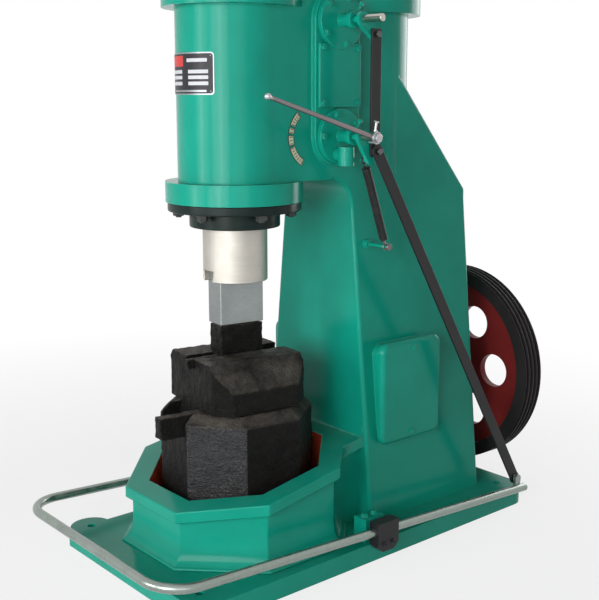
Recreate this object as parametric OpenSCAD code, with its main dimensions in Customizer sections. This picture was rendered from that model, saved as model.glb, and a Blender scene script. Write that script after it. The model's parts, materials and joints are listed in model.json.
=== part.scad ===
// Air forging hammer: one-piece frame, anvil in an octagonal collar, rotary valves,
// hand lever, foot treadle and flywheel. Millimetres, +Z up, front toward -Y.
// The origin lies on the floor, straight under the axis of the ram.

/* [Base plate] */
// Width of the base plate
base_w = 776; // [740:2:860]
// Distance from the ram axis to the front edge of the plate
base_front = 434; // [420:2:500]
// Distance from the column's rear face to the rear edge of the plate
base_behind = 125; // [100:1:160]
// Thickness of the plate
base_t = 60; // [50:1:64]
// Corner radius of the plate
base_corner_r = 60; // [30:1:64]
// Diameter of the foundation bolt holes
foot_bolt_d = 26; // [22:1:36]
// Distance from a bolt hole to the side edge of the plate
foot_bolt_in = 83; // [70:1:95]
// Distance from a bolt hole to the front or rear edge of the plate
foot_bolt_end = 66; // [50:1:70]
// Depth of the recess in the plate's left edge, behind the front bolt's ear
recess_d = 72; // [40:1:80]
// Distance from the ram axis back to the end of that recess
recess_rear = 170; // [100:1:190]

/* [Anvil collar] */
// Distance from the ram axis to the flats of the collar's lip
collar_flat = 335; // [325:1:345]
// Width of the rim on top of the collar
collar_rim = 71; // [60:1:75]
// Height of the rim at the ram axis
collar_h = 292; // [270:1:310]
// Slope of the rim, rising to the rear, in degrees
collar_slope = 9.6; // [6:0.1:11]
// Depth of the lip under the rim
lip_h = 36; // [25:1:50]
// Distance that the lip stands out from the wall
lip_out = 20; // [12:1:28]
// Height of the flared foot of the collar
flare_h = 84; // [60:1:100]
// Distance that the flared foot spreads
flare_out = 34; // [20:1:45]
// Distance that the neck toward the column is set in from the flats, on each side
neck_in = 100; // [85:1:130]
// Height of the sloping ledge between the rim and the column
ledge_h = 54; // [30:1:70]
// Depth of that ledge
ledge_d = 16; // [10:1:24]

/* [Frame] */
// Radius of both cylinder barrels
barrel_r = 171; // [166:1:178]
// Distance that the barrels stand out from the flat sides of the head
barrel_proud = 3; // [2:1:6]
// Distance from the ram axis to the axis of the rear cylinder
rear_barrel_y = 500; // [480:1:520]
// Height of the underside of the head
head_z = 1176; // [1160:1:1190]
// Height of the top of the head
head_top = 1743; // [1736:1:1780]
// Front face of the column
column_front = 335; // [330:1:350]
// Rear face of the column
column_rear = 875; // [850:1:890]
// Height where the sides of the column begin to spread
spread_z = 1080; // [1040:1:1100]
// Half width of the column at its foot
foot_half = 271; // [255:1:280]
// Height of the knee at the back of the column
knee_z = 1112; // [1060:1:1140]
// Height where the sloping back meets the rear cylinder
shoulder_z = 1536; // [1480:1:1580]
// Radius of the fillet in the throat
throat_r = 95; // [60:1:110]
// Radius of the cylinder flanges
flange_r = 210; // [205:1:216]
// Thickness of the cylinder flanges
flange_t = 61; // [50:1:70]

/* [Ram and dies] */
// Diameter of the ram
ram_d = 199; // [190:1:204]
// Radial clearance round the ram
ram_gap = 0.5; // [0.3:0.1:1]
// Length of the ram
ram_len = 520; // [480:1:540]
// Height of the ram's lower end with the dies closed
ram_z = 872; // [860:1:880]
// Height where the dies meet
work_z = 738; // [725:1:745]
// Width of the dies
die_w = 80; // [70:1:88]
// Length of the dies
die_len = 150; // [140:1:165]
// Turn of the dies and the anvil from the frame, in degrees
die_turn = -8; // [-12:1:-4]
// Depth of the dovetails that hold the dies
tang_h = 34; // [28:1:38]
// Width of the dovetails at their mouth
tang_w = 50; // [44:1:54]
// Spread of each dovetail flank
tang_flare = 6; // [4:1:8]
// Width of the keys that lock the dies
key_w = 16; // [12:1:20]
// Distance that the lower die's key stands out
key_out = 22; // [10:1:30]

/* [Anvil] */
// Distance from the ram axis to the flats of the anvil
anvil_flat = 226; // [215:1:232]
// Height of the top of the anvil
anvil_top = 490; // [470:1:505]
// Width of the bevel round the top of the anvil
anvil_bevel = 30; // [20:1:32]
// Half width of the sow block across its shoulders
sow_half = 190; // [180:1:195]
// Half length of the sow block
sow_len_half = 164; // [150:1:170]
// Height of the upright sides of the sow block
sow_side_h = 72; // [60:1:90]
// Height of the top of the sow block
sow_top = 645; // [640:1:655]
// Width of each sloping shoulder of the sow block
sow_shoulder = 66; // [50:1:75]
// Width that each upright corner of the sow block is cut back
sow_corner = 50; // [40:1:60]
// Width of the sow block's tang
sow_tang_w = 150; // [130:1:170]
// Depth of the sow block's tang
sow_tang_h = 70; // [60:1:78]
// Width of the wedge beside the sow block's tang
wedge_w = 40; // [30:1:48]
// Distance that the wedge stands out at the front
wedge_out = 78; // [60:1:84]

/* [Gland] */
// Radius of the upper gland ring
gland_flange_r = 204; // [190:1:204]
// Thickness of the upper gland ring
gland_flange_t = 28; // [20:1:32]
// Radius of the lower gland ring
gland_r = 139; // [130:1:150]
// Thickness of the lower gland ring
gland_t = 49; // [40:1:52]

/* [Top covers] */
// Thickness of the cylinder covers
cover_t = 36; // [28:1:44]
// Radius of the raised middle of the covers
cover_mid_r = 118; // [90:1:140]
// Height of the raised middle of the covers
cover_mid_h = 20; // [12:1:26]

/* [Valve gear] */
// Distance from the ram axis to the valve axes
valve_y = 255; // [250:1:260]
// Height of the lower valve axis
low_valve_z = 1308; // [1300:1:1312]
// Height of the upper valve axis
up_valve_z = 1648; // [1642:1:1650]
// Radius of the ends of the raised pad under the valve covers
valve_r = 90; // [84:1:93]
// Width of the pad's edge that shows round the valve covers
pad_edge = 6; // [3:1:10]
// Thickness of the raised pad under the covers
valve_pad_t = 14; // [8:1:18]
// Thickness of the valve covers
valve_cover_t = 18; // [12:1:22]
// Radius of the shaft boss on a valve cover
boss_r = 20; // [18:1:24]
// Length of the shaft boss on a valve cover
boss_len = 58; // [50:1:62]
// Diameter of the valve shafts
valve_shaft_d = 22; // [18:1:24]
// Running clearance of the valve shafts, on the radius
shaft_gap = 0.08; // [0.05:0.01:0.1]
// Length of the crank arms
crank_len = 60; // [56:1:64]
// Angle of the crank arms below the horizontal, in degrees
crank_drop = 45; // [42:1:48]
// Thickness of the crank arms
crank_t = 14; // [12:1:15]
// Diameter of the linkage pins
link_pin_d = 12; // [10:1:14]
// Clearance of the linkage pins, on the radius
pin_gap = 0.5; // [0.3:0.1:0.8]
// Width of the flat linkage bars
bar_w = 38; // [34:1:40]
// Thickness of the flat linkage bars
bar_t = 8; // [6:1:8]
// Length of the link bar beyond its pins
bar_over = 16; // [12:1:20]
// Gap between pieces side by side on a pin
side_gap = 2; // [1:0.5:2]
// Length of the hand lever from the valve axis to its ball
lever_len = 416; // [390:1:440]
// Angle of the hand lever above the horizontal, in degrees
lever_rise = 16.6; // [14:0.2:18]
// Diameter of the hand lever at its middle
lever_d = 14; // [12:1:16]
// Radius of the hand lever's hub
lever_hub_r = 19; // [17:1:21]
// Length of the upper valve shaft beyond the hand lever's hub
shaft_over = 18; // [10:1:24]
// Radius of the air elbow's short pipe
elbow_r = 20; // [16:1:21]
// Radius of the air elbow's outlet
outlet_r = 25; // [21:1:26]

/* [Treadle] */
// Diameter of the treadle pipe
pipe_d = 28; // [25:1:30]
// Wall of the treadle pipe
pipe_wall = 3; // [2:0.5:4]
// Gap between the base plate and the treadle pipe
pipe_side = 8; // [6:1:14]
// Distance from the ram axis to the treadle's hinge
hinge_y = 255; // [245:1:265]
// Height of the treadle's hinge
hinge_z = 106; // [102:1:110]
// Distance from the hinge forward to the front bar
treadle_front = 800; // [780:1:840]
// Distance from the hinge back to the end of the right arm
treadle_rear = 706; // [695:1:715]
// Slope of the treadle, rising to the front, in degrees
treadle_slope = 3.1; // [2.6:0.1:3.4]
// Bend radius of the treadle's corners
bend_r = 110; // [90:1:130]
// Distance from the hinge back to the rod's pin
lug_back = 670; // [660:1:676]
// Height of the rod's pin above the pipe's centre line
lug_up = 36; // [34:1:42]
// Extra clearance of the rod's lower eye, on the radius
rod_play = 3.4; // [3.2:0.1:4]

/* [Return spring] */
// Diameter of the spring coil
spring_d = 28; // [24:1:28]
// Diameter of the spring's wire
spring_wire = 5; // [4:0.5:5]
// Distance back from the valve axis to the spring's pin
spring_pin_y = 34; // [30:1:38]
// Distance down from the valve axis to the spring's pin
spring_pin_z = 70; // [66:1:74]
// Distance from the ram axis to the spring's stud
stud_y = 386; // [380:1:392]
// Height of the spring's stud
stud_z = 966; // [955:1:975]

/* [Flywheel] */
// Radius of the flywheel
wheel_r = 365; // [355:1:372]
// Height of the crankshaft
crank_z = 436; // [434:1:450]
// Gap between the rear edge of the base plate and the flywheel
wheel_gap = 6; // [6:1:20]
// Width of the flywheel's rim
rim_w = 84; // [76:1:96]
// Thickness of the flywheel's rim
rim_t = 46; // [42:1:60]
// Thickness of the flywheel's web
web_t = 28; // [22:1:36]
// Number of holes through the web
web_holes = 6; // [5:1:6]
// Radius of the holes through the web
web_hole_r = 60; // [40:1:62]
// Distance from the shaft to the holes through the web
web_hole_at = 192; // [180:1:200]
// Number of belt grooves
grooves = 4; // [3:1:4]
// Depth of the belt grooves
groove_depth = 13; // [9:1:14]
// Diameter of the crankshaft
shaft_d = 90; // [80:1:96]

/* [Covers and plates] */
// Height of the lower edge of the side covers
side_cover_z = 322; // [310:1:330]
// Height of the side covers
side_cover_h = 316; // [300:1:330]
// Distance from the column's front to the side covers
side_cover_in = 52; // [40:1:60]
// Length of the side covers
side_cover_len = 256; // [230:1:270]
// Corner radius of the side covers
side_cover_r = 34; // [20:1:50]
// Distance from the centre plane to the face under the side covers
side_pad_x = 266; // [264:1:276]
// Thickness of the side covers
side_cover_t = 10; // [6:1:14]
// Angle that the nameplate spans on the barrel, in degrees
plate_span = 70; // [50:1:74]
// Height of the nameplate
plate_h = 119; // [110:1:140]
// Place of the nameplate on the barrel, from 0 at the bottom to 1 at the top
plate_place = 0.66; // [0.3:0.01:0.8]
// Thickness of the nameplate
plate_t = 2; // [1.5:0.5:3]
// Middle radius of the lever's scale
scale_r = 86; // [80:1:92]
// Distance from the valve axis forward to the centre of the lever's scale
scale_in = 86; // [80:1:92]
// Width of the lever's scale
scale_w = 21; // [16:1:24]
// Gap between the segments of the lever's scale, in degrees
scale_gap = 3; // [2:0.5:4]

/* [Hidden] */
$fn = 64;
EPS = 0.01;

green = "mediumseagreen";
black = "#2a2a2a";
steel = "silver";
forged = "#3a3836";

ram_r = ram_d / 2;
bore_r = ram_r + ram_gap;
web_half = barrel_r - barrel_proud;
base_half = base_w / 2;
base_rear = column_rear + base_behind;
wall_flat = collar_flat - lip_out;
hollow_flat = collar_flat - collar_rim;
flange_z = head_z - flange_t;
plate_z = head_z + plate_place * (head_top - flange_t - head_z - plate_h);
gland_z = flange_z - gland_flange_t;

// Places along X on the valve gear, from the frame outward.
cover_x = barrel_r + valve_pad_t;
boss_x = cover_x + valve_cover_t;
crank_x = boss_x + boss_len + 22;
bar_x = crank_x + crank_t + side_gap;
rod_x = bar_x + bar_t + 2 * side_gap;
pin_end_x = rod_x + bar_t + 2 * side_gap;
lever_x = pin_end_x + 10;
lever_hub_len = 22;
shaft_tip_x = lever_x + lever_hub_len + shaft_over;
pin_head = 3;
ball_d = lever_d + 6;
valve_cover_r = valve_r - pad_edge;
shaft_r = valve_shaft_d / 2;
pin_r = link_pin_d / 2;
crank_hub_r = 22;
crank_eye_r = 16;
crank_pin = crank_len * [cos(crank_drop), -sin(crank_drop)];
low_valve = [valve_y, low_valve_z];
up_valve = [valve_y, up_valve_z];
spring_pin = [spring_pin_y, -spring_pin_z];
spring_pin_r = 6;
spring_top = low_valve + spring_pin;
spring_foot = [stud_y, stud_z];
spring_len = norm(spring_foot - spring_top);
spring_lean = atan2(spring_foot[0] - spring_top[0], spring_top[1] - spring_foot[1]);
spring_x = crank_x - side_gap - spring_d / 2;
spring_eye_r = spring_pin_r + 1;
coil_clear = 10;
coil_top = spring_eye_r + spring_wire + coil_clear;
coil_len = spring_len - 2 * coil_top;
stud_boss_x = web_half + (foot_half - web_half) * (spread_z - stud_z) / (spread_z - base_t) + 16;
stud_boss_r = 14;

// Angles that the segments of the lever's scale span, from the top down, and where the first one starts.
scale_spans = [29, 12, 20, 43];
scale_from = 129;

// Places on the treadle and its rod.
pipe_r = pipe_d / 2;
pipe_x = base_half + pipe_side + pipe_r;
lug_t = 10;
lug_x = pipe_x - lug_t - 2;
rod_foot_x = lug_x - 2 * side_gap - bar_t;
rod_top = low_valve + crank_pin;
rod_foot = [hinge_y, hinge_z] + lug_back * [cos(treadle_slope), -sin(treadle_slope)]
    + lug_up * [sin(treadle_slope), cos(treadle_slope)];
rod_run = norm(rod_foot - rod_top);
rod_lean = atan2(rod_foot[0] - rod_top[0], rod_top[1] - rod_foot[1]);
rod_splay = atan2(rod_foot_x - rod_x, rod_run);
eye_swell = 2;
hinge_pin_d = 22;
hinge_pin_gap = 0.08;
clamp_len = 88;
clamp_below = 60;
clamp_above = 34;
clamp_draw = 20;
neck_r = 24;
clamp_x = pipe_x - pipe_r - 4;
clamp_w = 2 * pipe_r + 8 + 4;
neck_x = clamp_x - 18;
block_w = 52;
block_x = neck_x - 4 - block_w;
block_len = 80;
block_above = 28;

// Places along Y on the crankshaft, from the frame to the rear.
bearing_t = 30;
bearing_r = 140;
cap_t = 26;
cap_r = 118;
wheel_y = base_rear + wheel_gap;
web_y = wheel_y + (rim_w - web_t) / 2;
hub_r = 82;
hub_len = rim_w + 24;
shaft_end = wheel_y + hub_len + 18;

// Draws a flat outline in (Y, Z) as a slab from x0 to x1.
module slab_x(x0, x1) {
    translate([x0, 0, 0])
        rotate([90, 0, 90])
            linear_extrude(x1 - x0)
                children();
}

// A rod along +X from x0 to x1 through p = [y, z].
module rod_x_at(x0, x1, p, r) {
    translate([x0, p[0], p[1]])
        rotate([0, 90, 0])
            cylinder(h = x1 - x0, r = r);
}

// A rod along +Y from y0 to y1 at height z on the centre plane.
module rod_y_at(y0, y1, z, r) {
    translate([0, y0, z])
        rotate([-90, 0, 0])
            cylinder(h = y1 - y0, r = r);
}

// A rectangle with round corners, from its lower left corner.
module round_rect(w, h, r) {
    translate([r, 0])
        square([w - 2 * r, h]);
    translate([0, r])
        square([w, h - 2 * r]);
    for (x = [r, w - r], y = [r, h - r])
        translate([x, y])
            circle(r);
}

// An outline round two eyes, joined by their common tangents.
module eye_outline(p0, r0, p1, r1) {
    d = p1 - p0;
    a = atan2(d[1], d[0]);
    b = acos((r0 - r1) / norm(d));
    translate(p0)
        circle(r0);
    translate(p1)
        circle(r1);
    polygon([
        p0 + r0 * [cos(a + b), sin(a + b)],
        p1 + r1 * [cos(a + b), sin(a + b)],
        p1 + r1 * [cos(a - b), sin(a - b)],
        p0 + r0 * [cos(a - b), sin(a - b)]
    ]);
}

// An eight-sided block whose upright cross-section in (X, Z) is the same across each pair of flats.
module eight_sided(reach) {
    intersection_for (a = [0, 45, 90, 135])
        rotate([90, 0, a])
            translate([0, 0, -reach])
                linear_extrude(2 * reach)
                    children();
}

// An octagon given by the distance to its flats, with flats facing X and Y.
module octagon(flat) {
    rotate(22.5)
        circle(r = flat / cos(22.5), $fn = 8);
}

// Everything under the sloping rim, lowered by the given depth.
module under_rim(depth) {
    big = 2 * base_rear;
    translate([0, 0, collar_h - depth])
        rotate([collar_slope, 0, 0])
            translate([-big / 2, -big / 2, -big])
                cube(big);
}

// Outline of the base plate, with a round ear at the front left bolt hole.
module base_outline() {
    ear_y = foot_bolt_end - base_front;
    difference() {
        translate([-base_half, -base_front])
            round_rect(base_w, base_front + base_rear, base_corner_r);
        translate([-base_half - recess_d, -base_front - 1])
            round_rect(2 * recess_d, base_front + recess_rear + 1, recess_d / 3);
    }
    translate([foot_bolt_in - base_half, ear_y])
        circle(foot_bolt_end);
}

module base_plate() {
    color(green)
        difference() {
            linear_extrude(base_t)
                base_outline();
            for (x = [-1, 1] * (base_half - foot_bolt_in))
                for (y = [foot_bolt_end - base_front, base_rear - foot_bolt_end])
                    translate([x, y, -1])
                        cylinder(h = base_t + 2, d = foot_bolt_d);
        }
}

// Outline of the collar: an octagon with a straight neck back to the column.
module collar_outline(flat) {
    octagon(flat);
    translate([neck_in - flat, 0])
        square([2 * (flat - neck_in), column_front + 1]);
}

// Half of the collar's flared foot in (X, Z): a low step and a hollow sweep up to the wall.
module cove_profile() {
    step_h = 8;
    sweep = [
        for (a = [0 : 15 : 90])
            [wall_flat + flare_out * (1 - cos(a)), base_t + flare_h - (flare_h - step_h) * sin(a)]
    ];
    polygon(concat([[0, base_t + flare_h]], sweep, [[wall_flat + flare_out, base_t], [0, base_t]]));
}

module anvil_collar() {
    tall = collar_h + collar_flat;
    color(green)
        difference() {
            union() {
                intersection() {
                    translate([0, 0, base_t])
                        linear_extrude(tall)
                            collar_outline(wall_flat);
                    under_rim(0);
                }
                intersection() {
                    linear_extrude(tall)
                        collar_outline(collar_flat);
                    difference() {
                        under_rim(0);
                        under_rim(lip_h);
                    }
                }
                eight_sided(2 * collar_flat)
                    for (s = [0, 1])
                        mirror([s, 0])
                            cove_profile();
            }
            linear_extrude(tall)
                octagon(hollow_flat);
            translate([-foot_half * 2, column_front, 0])
                cube([foot_half * 4, foot_half, tall]);
        }
}

// Side view of the column with its sloping back.
module column_side() {
    polygon([
        [column_front, base_t],
        [column_rear, base_t],
        [column_rear, knee_z],
        [rear_barrel_y, shoulder_z],
        [column_front, shoulder_z]
    ]);
    difference() {
        translate([column_front - throat_r, head_z - throat_r])
            square([throat_r + 1, throat_r + 1]);
        translate([column_front - throat_r, head_z - throat_r])
            circle(throat_r);
    }
}

// Height of the collar's rim at the distance y from the ram axis.
function rim_z(y) = collar_h + y * tan(collar_slope);

// Side view of the sloping ledge on the rim, in front of the column.
module foot_ledge() {
    y0 = column_front - ledge_d;
    y1 = column_front + 1;
    polygon([
        [y0, rim_z(y0)],
        [y1, rim_z(y1)],
        [y1, rim_z(column_front) + ledge_h],
        [column_front, rim_z(column_front) + ledge_h]
    ]);
}

// Front view of the column, spreading toward its foot.
module column_front_view() {
    polygon([
        [-foot_half, base_t],
        [foot_half, base_t],
        [web_half, spread_z],
        [web_half, head_top],
        [-web_half, head_top],
        [-web_half, spread_z]
    ]);
}

// Outline of the pad under a side cover, in (Y, Z).
module side_cover_outline() {
    translate([column_front + side_cover_in, side_cover_z])
        round_rect(side_cover_len, side_cover_h, side_cover_r);
}

// Outline of the plate between the two valves, in (Y, Z).
module valve_chest_outline() {
    low = low_valve_z + valve_r;
    translate([valve_y - valve_cover_r, low])
        square([2 * valve_cover_r, up_valve_z - valve_r - low]);
}

module frame() {
    color(green)
        difference() {
            union() {
                intersection() {
                    slab_x(-foot_half, foot_half)
                        column_side();
                    rotate([90, 0, 0])
                        translate([0, 0, -column_rear])
                            linear_extrude(column_rear + barrel_r)
                                column_front_view();
                }
                for (y = [0, rear_barrel_y])
                    translate([0, y, 0]) {
                        translate([0, 0, head_z])
                            cylinder(h = head_top - head_z, r = barrel_r);
                        translate([0, 0, head_top - flange_t])
                            cylinder(h = flange_t, r = flange_r);
                    }
                translate([-web_half, 0, head_z])
                    cube([2 * web_half, rear_barrel_y, head_top - head_z]);
                translate([0, 0, flange_z])
                    cylinder(h = flange_t + 1, r = flange_r);
                slab_x(web_half - 1, cover_x)
                    eye_outline(low_valve, valve_r, up_valve, valve_r);
                slab_x(neck_in - collar_flat, collar_flat - neck_in)
                    foot_ledge();
                slab_x(-side_pad_x, side_pad_x)
                    side_cover_outline();
                rod_x_at(web_half - 20, stud_boss_x, spring_foot, stud_boss_r);
                rod_y_at(column_rear - 1, column_rear + bearing_t, crank_z, bearing_r);
            }
            translate([0, 0, flange_z - 1])
                cylinder(h = head_top - flange_z + 2, r = bore_r);
            for (p = [low_valve, up_valve])
                rod_x_at(barrel_r - 20, cover_x + 1, p, shaft_r + shaft_gap);
            rod_y_at(column_rear - 60, column_rear + bearing_t + 1, crank_z, shaft_d / 2 + shaft_gap);
        }
}

// A round cylinder cover with a raised middle.
module top_cover(y) {
    translate([0, y, head_top])
        cylinder(h = cover_t, r = flange_r);
    translate([0, y, head_top + cover_t - EPS])
        cylinder(h = cover_mid_h + EPS, r = cover_mid_r);
}

module front_cover() {
    color(green)
        top_cover(0);
}

module rear_cover() {
    color(green)
        top_cover(rear_barrel_y);
}

// A ring round the ram, from height z upward.
module ram_ring(z, h, r) {
    difference() {
        translate([0, 0, z])
            cylinder(h = h, r = r);
        translate([0, 0, z - 1])
            cylinder(h = h + 2, r = bore_r);
    }
}

module gland_flange() {
    color(black)
        ram_ring(gland_z, gland_flange_t, gland_flange_r);
}

module gland_ring() {
    color(black)
        ram_ring(gland_z - gland_t, gland_t, gland_r);
}

// Cross-section of a dovetail slot: mouth at y = 0, opening downward into -y.
module dovetail(w, h, flare) {
    polygon([
        [-w / 2, 0],
        [w / 2, 0],
        [w / 2 + flare, h],
        [-w / 2 - flare, h]
    ]);
}

// Cross-section of the strip of a dovetail slot that its key fills.
module dovetail_key(w, h, flare, kw) {
    intersection() {
        dovetail(w, h, flare);
        translate([w / 2 - kw, 0])
            square([kw + flare, h]);
    }
}

// Cross-section of what is left of a dovetail slot beside its key.
module dovetail_tang(w, h, flare, kw) {
    intersection() {
        dovetail(w, h, flare);
        translate([-w / 2 - flare, 0])
            square([w + flare - kw, h]);
    }
}

// Draws a cross-section in (X, Z) along the turned Y axis of the dies, from y0 to y1.
module along_die(y0, y1) {
    rotate(die_turn)
        translate([0, y1, 0])
            rotate([90, 0, 0])
                linear_extrude(y1 - y0)
                    children();
}

module ram() {
    color(steel)
        difference() {
            translate([0, 0, ram_z])
                cylinder(h = ram_len, r = ram_r);
            along_die(-ram_r - 1, ram_r + 1)
                translate([0, ram_z - EPS])
                    dovetail(tang_w, tang_h, tang_flare);
        }
}

module top_die() {
    color(forged)
        along_die(-die_len / 2, die_len / 2) {
            translate([-die_w / 2, work_z])
                square([die_w, ram_z - work_z]);
            translate([0, ram_z - EPS])
                dovetail_tang(tang_w, tang_h, tang_flare, key_w);
        }
}

module top_die_key() {
    color(steel)
        along_die(-die_len / 2, die_len / 2)
            translate([0, ram_z])
                dovetail_key(tang_w, tang_h - EPS, tang_flare, key_w);
}

module bottom_die() {
    color(black)
        along_die(-die_len / 2, die_len / 2) {
            translate([-die_w / 2, sow_top])
                square([die_w, work_z - sow_top]);
            translate([0, sow_top + EPS])
                mirror([0, 1])
                    dovetail_tang(tang_w, tang_h, tang_flare, key_w);
        }
}

module bottom_die_key() {
    color(black)
        along_die(-sow_len_half - key_out, die_len / 2)
            translate([0, sow_top])
                mirror([0, 1])
                    dovetail_key(tang_w, tang_h - EPS, tang_flare, key_w);
}

// Plan of a block with its four corners cut back.
module cut_corners(half_w, half_l, cut) {
    intersection() {
        square([2 * half_w, 2 * half_l], center = true);
        rotate(45)
            square(sqrt(2) * (half_w + half_l - cut), center = true);
    }
}

module sow_block() {
    color(forged)
        difference() {
            intersection() {
                along_die(-sow_len_half, sow_len_half) {
                    polygon([
                        [-sow_half, anvil_top],
                        [sow_half, anvil_top],
                        [sow_half, anvil_top + sow_side_h],
                        [sow_half - sow_shoulder, sow_top],
                        [sow_shoulder - sow_half, sow_top],
                        [-sow_half, anvil_top + sow_side_h]
                    ]);
                    translate([0, anvil_top + EPS])
                        mirror([0, 1])
                            dovetail_tang(sow_tang_w, sow_tang_h, tang_flare, wedge_w);
                }
                rotate(die_turn)
                    linear_extrude(sow_top)
                        cut_corners(sow_half, sow_len_half, sow_corner);
            }
            along_die(-sow_len_half - 1, sow_len_half + 1)
                translate([0, sow_top + EPS])
                    mirror([0, 1])
                        dovetail(tang_w, tang_h, tang_flare);
        }
}

module sow_wedge() {
    color(black)
        along_die(-anvil_flat - wedge_out, sow_len_half)
            translate([0, anvil_top])
                mirror([0, 1])
                    dovetail_key(sow_tang_w, sow_tang_h - EPS, tang_flare, wedge_w);
}

module anvil() {
    color(forged)
        difference() {
            rotate(die_turn)
                eight_sided(2 * anvil_flat)
                    polygon([
                        [-anvil_flat, base_t],
                        [anvil_flat, base_t],
                        [anvil_flat, anvil_top - anvil_bevel],
                        [anvil_flat - anvil_bevel, anvil_top],
                        [anvil_bevel - anvil_flat, anvil_top],
                        [-anvil_flat, anvil_top - anvil_bevel]
                    ]);
            along_die(-anvil_flat - 1, anvil_flat + 1)
                translate([0, anvil_top + EPS])
                    mirror([0, 1])
                        dovetail(sow_tang_w, sow_tang_h, tang_flare);
        }
}

// A round valve cover with a boss for its shaft at p = [y, z].
module valve_cover(p) {
    difference() {
        union() {
            rod_x_at(cover_x, boss_x, p, valve_cover_r);
            rod_x_at(boss_x - 1, boss_x + boss_len, p, boss_r);
            rod_x_at(boss_x + boss_len - 20, boss_x + boss_len, p, boss_r + 6);
        }
        rod_x_at(cover_x - 1, boss_x + boss_len + 1, p, shaft_r + shaft_gap);
    }
}

module upper_valve_cover() {
    color(green)
        valve_cover(up_valve);
}

module lower_valve_cover() {
    color(green)
        valve_cover(low_valve);
}

module valve_chest_cover() {
    color(green)
        slab_x(cover_x, boss_x)
            valve_chest_outline();
}

module air_elbow() {
    elbow = low_valve + [-14, -54];
    out = elbow_r + 16;
    color(green) {
        rod_x_at(boss_x, boss_x + out, elbow, elbow_r);
        translate([boss_x + out, elbow[0], elbow[1] - 32])
            cylinder(h = 56, r = outlet_r);
    }
}

// The crank on the shaft at p, with its pin reaching outward to x1.
module crank(p, x1) {
    difference() {
        slab_x(crank_x, crank_x + crank_t)
            eye_outline(p, crank_hub_r, p + crank_pin, crank_eye_r);
        rod_x_at(crank_x - 1, crank_x + crank_t + 1, p, shaft_r);
    }
    rod_x_at(crank_x + 1, x1, p + crank_pin, pin_r);
    rod_x_at(x1 - 1, x1 + 6, p + crank_pin, pin_r + pin_head);
}

module upper_valve_shaft() {
    color(steel)
        rod_x_at(barrel_r - 15, shaft_tip_x, up_valve, shaft_r);
}

module upper_crank() {
    color(green)
        crank(up_valve, rod_x);
}

module lower_valve_shaft() {
    color(steel)
        rod_x_at(barrel_r - 15, lever_x + lever_hub_len, low_valve, shaft_r);
}

module lower_crank() {
    color(green) {
        crank(low_valve, pin_end_x);
        difference() {
            slab_x(crank_x, crank_x + crank_t)
                eye_outline(low_valve, crank_hub_r, spring_top, crank_eye_r - 4);
            rod_x_at(crank_x - 1, crank_x + crank_t + 1, low_valve, shaft_r);
        }
        rod_x_at(spring_x - spring_d / 2, crank_x + 1, spring_top, spring_pin_r);
    }
}

module hand_lever() {
    mid_x = lever_x + lever_hub_len / 2;
    color(steel) {
        difference() {
            rod_x_at(lever_x, lever_x + lever_hub_len, low_valve, lever_hub_r);
            rod_x_at(lever_x - 1, lever_x + lever_hub_len + 1, low_valve, shaft_r);
        }
        translate([mid_x, valve_y, low_valve_z])
            rotate([90 - lever_rise, 0, 0]) {
                translate([0, 0, shaft_r + 4])
                    cylinder(h = lever_len - shaft_r - 4, d1 = lever_d + 2, d2 = lever_d - 2);
                translate([0, 0, lever_len])
                    sphere(d = ball_d);
            }
    }
}

module link_bar() {
    color(black)
        slab_x(bar_x, bar_x + bar_t)
            difference() {
                translate(low_valve + crank_pin - [bar_w / 2, bar_over])
                    round_rect(bar_w, up_valve_z - low_valve_z + 2 * bar_over, bar_t / 2);
                for (p = [low_valve, up_valve])
                    translate(p + crank_pin)
                        circle(pin_r + pin_gap);
            }
}

module treadle_rod() {
    long = rod_run / cos(rod_splay);
    color(black)
        difference() {
            translate([rod_x, rod_top[0], rod_top[1]])
                rotate([rod_lean, 0, 0])
                    rotate([0, -rod_splay, 0])
                        slab_x(0, bar_t) {
                            translate([-bar_w / 2, -long])
                                square([bar_w, long]);
                            for (z = [0, -long])
                                translate([0, z])
                                    circle(bar_w / 2 + eye_swell);
                        }
            rod_x_at(rod_x - 5, rod_x + bar_t + 5, rod_top, pin_r + pin_gap);
            rod_x_at(rod_foot_x - 5, rod_foot_x + bar_t + 5, rod_foot, pin_r + rod_play);
        }
}

// The run of the treadle pipe with radius r, flat, with the hinge at the origin.
module treadle_run(r) {
    side = pipe_x;
    arm = treadle_front - bend_r;
    translate([side, treadle_rear, 0])
        rotate([90, 0, 0])
            cylinder(h = treadle_rear + arm, r = r);
    translate([-side, clamp_len, 0])
        rotate([90, 0, 0])
            cylinder(h = clamp_len + arm, r = r);
    translate([bend_r - side, -treadle_front, 0])
        rotate([0, 90, 0])
            cylinder(h = 2 * (side - bend_r), r = r);
    for (s = [0, 1])
        mirror([s, 0, 0])
            translate([side - bend_r, -arm, 0])
                rotate(-90)
                    rotate_extrude(angle = 90)
                        translate([bend_r, 0])
                            circle(r);
}

// Places a shape in the treadle's own sloping frame.
module on_treadle() {
    translate([0, hinge_y, hinge_z])
        rotate([-treadle_slope, 0, 0])
            children();
}

module treadle() {
    color(steel)
        on_treadle() {
            difference() {
                union() {
                    treadle_run(pipe_r);
                    slab_x(lug_x, lug_x + lug_t)
                        eye_outline([lug_back, 0], pipe_r - 2, [lug_back, lug_up], pipe_r);
                }
                treadle_run(pipe_r - pipe_wall);
            }
            rod_x_at(rod_foot_x - 6, lug_x + 1, [lug_back, lug_up], pin_r);
            rod_x_at(rod_foot_x - 10, rod_foot_x - 4, [lug_back, lug_up], pin_r + pin_head + 2);
        }
}

// Side view of a clamp, drawn in toward its foot.
module clamp_outline() {
    half = clamp_len / 2;
    foot = half - clamp_draw;
    polygon([
        [-half, clamp_above],
        [-half, clamp_draw - clamp_below],
        [-foot, -clamp_below],
        [foot, -clamp_below],
        [half, clamp_draw - clamp_below],
        [half, clamp_above]
    ]);
}

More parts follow.
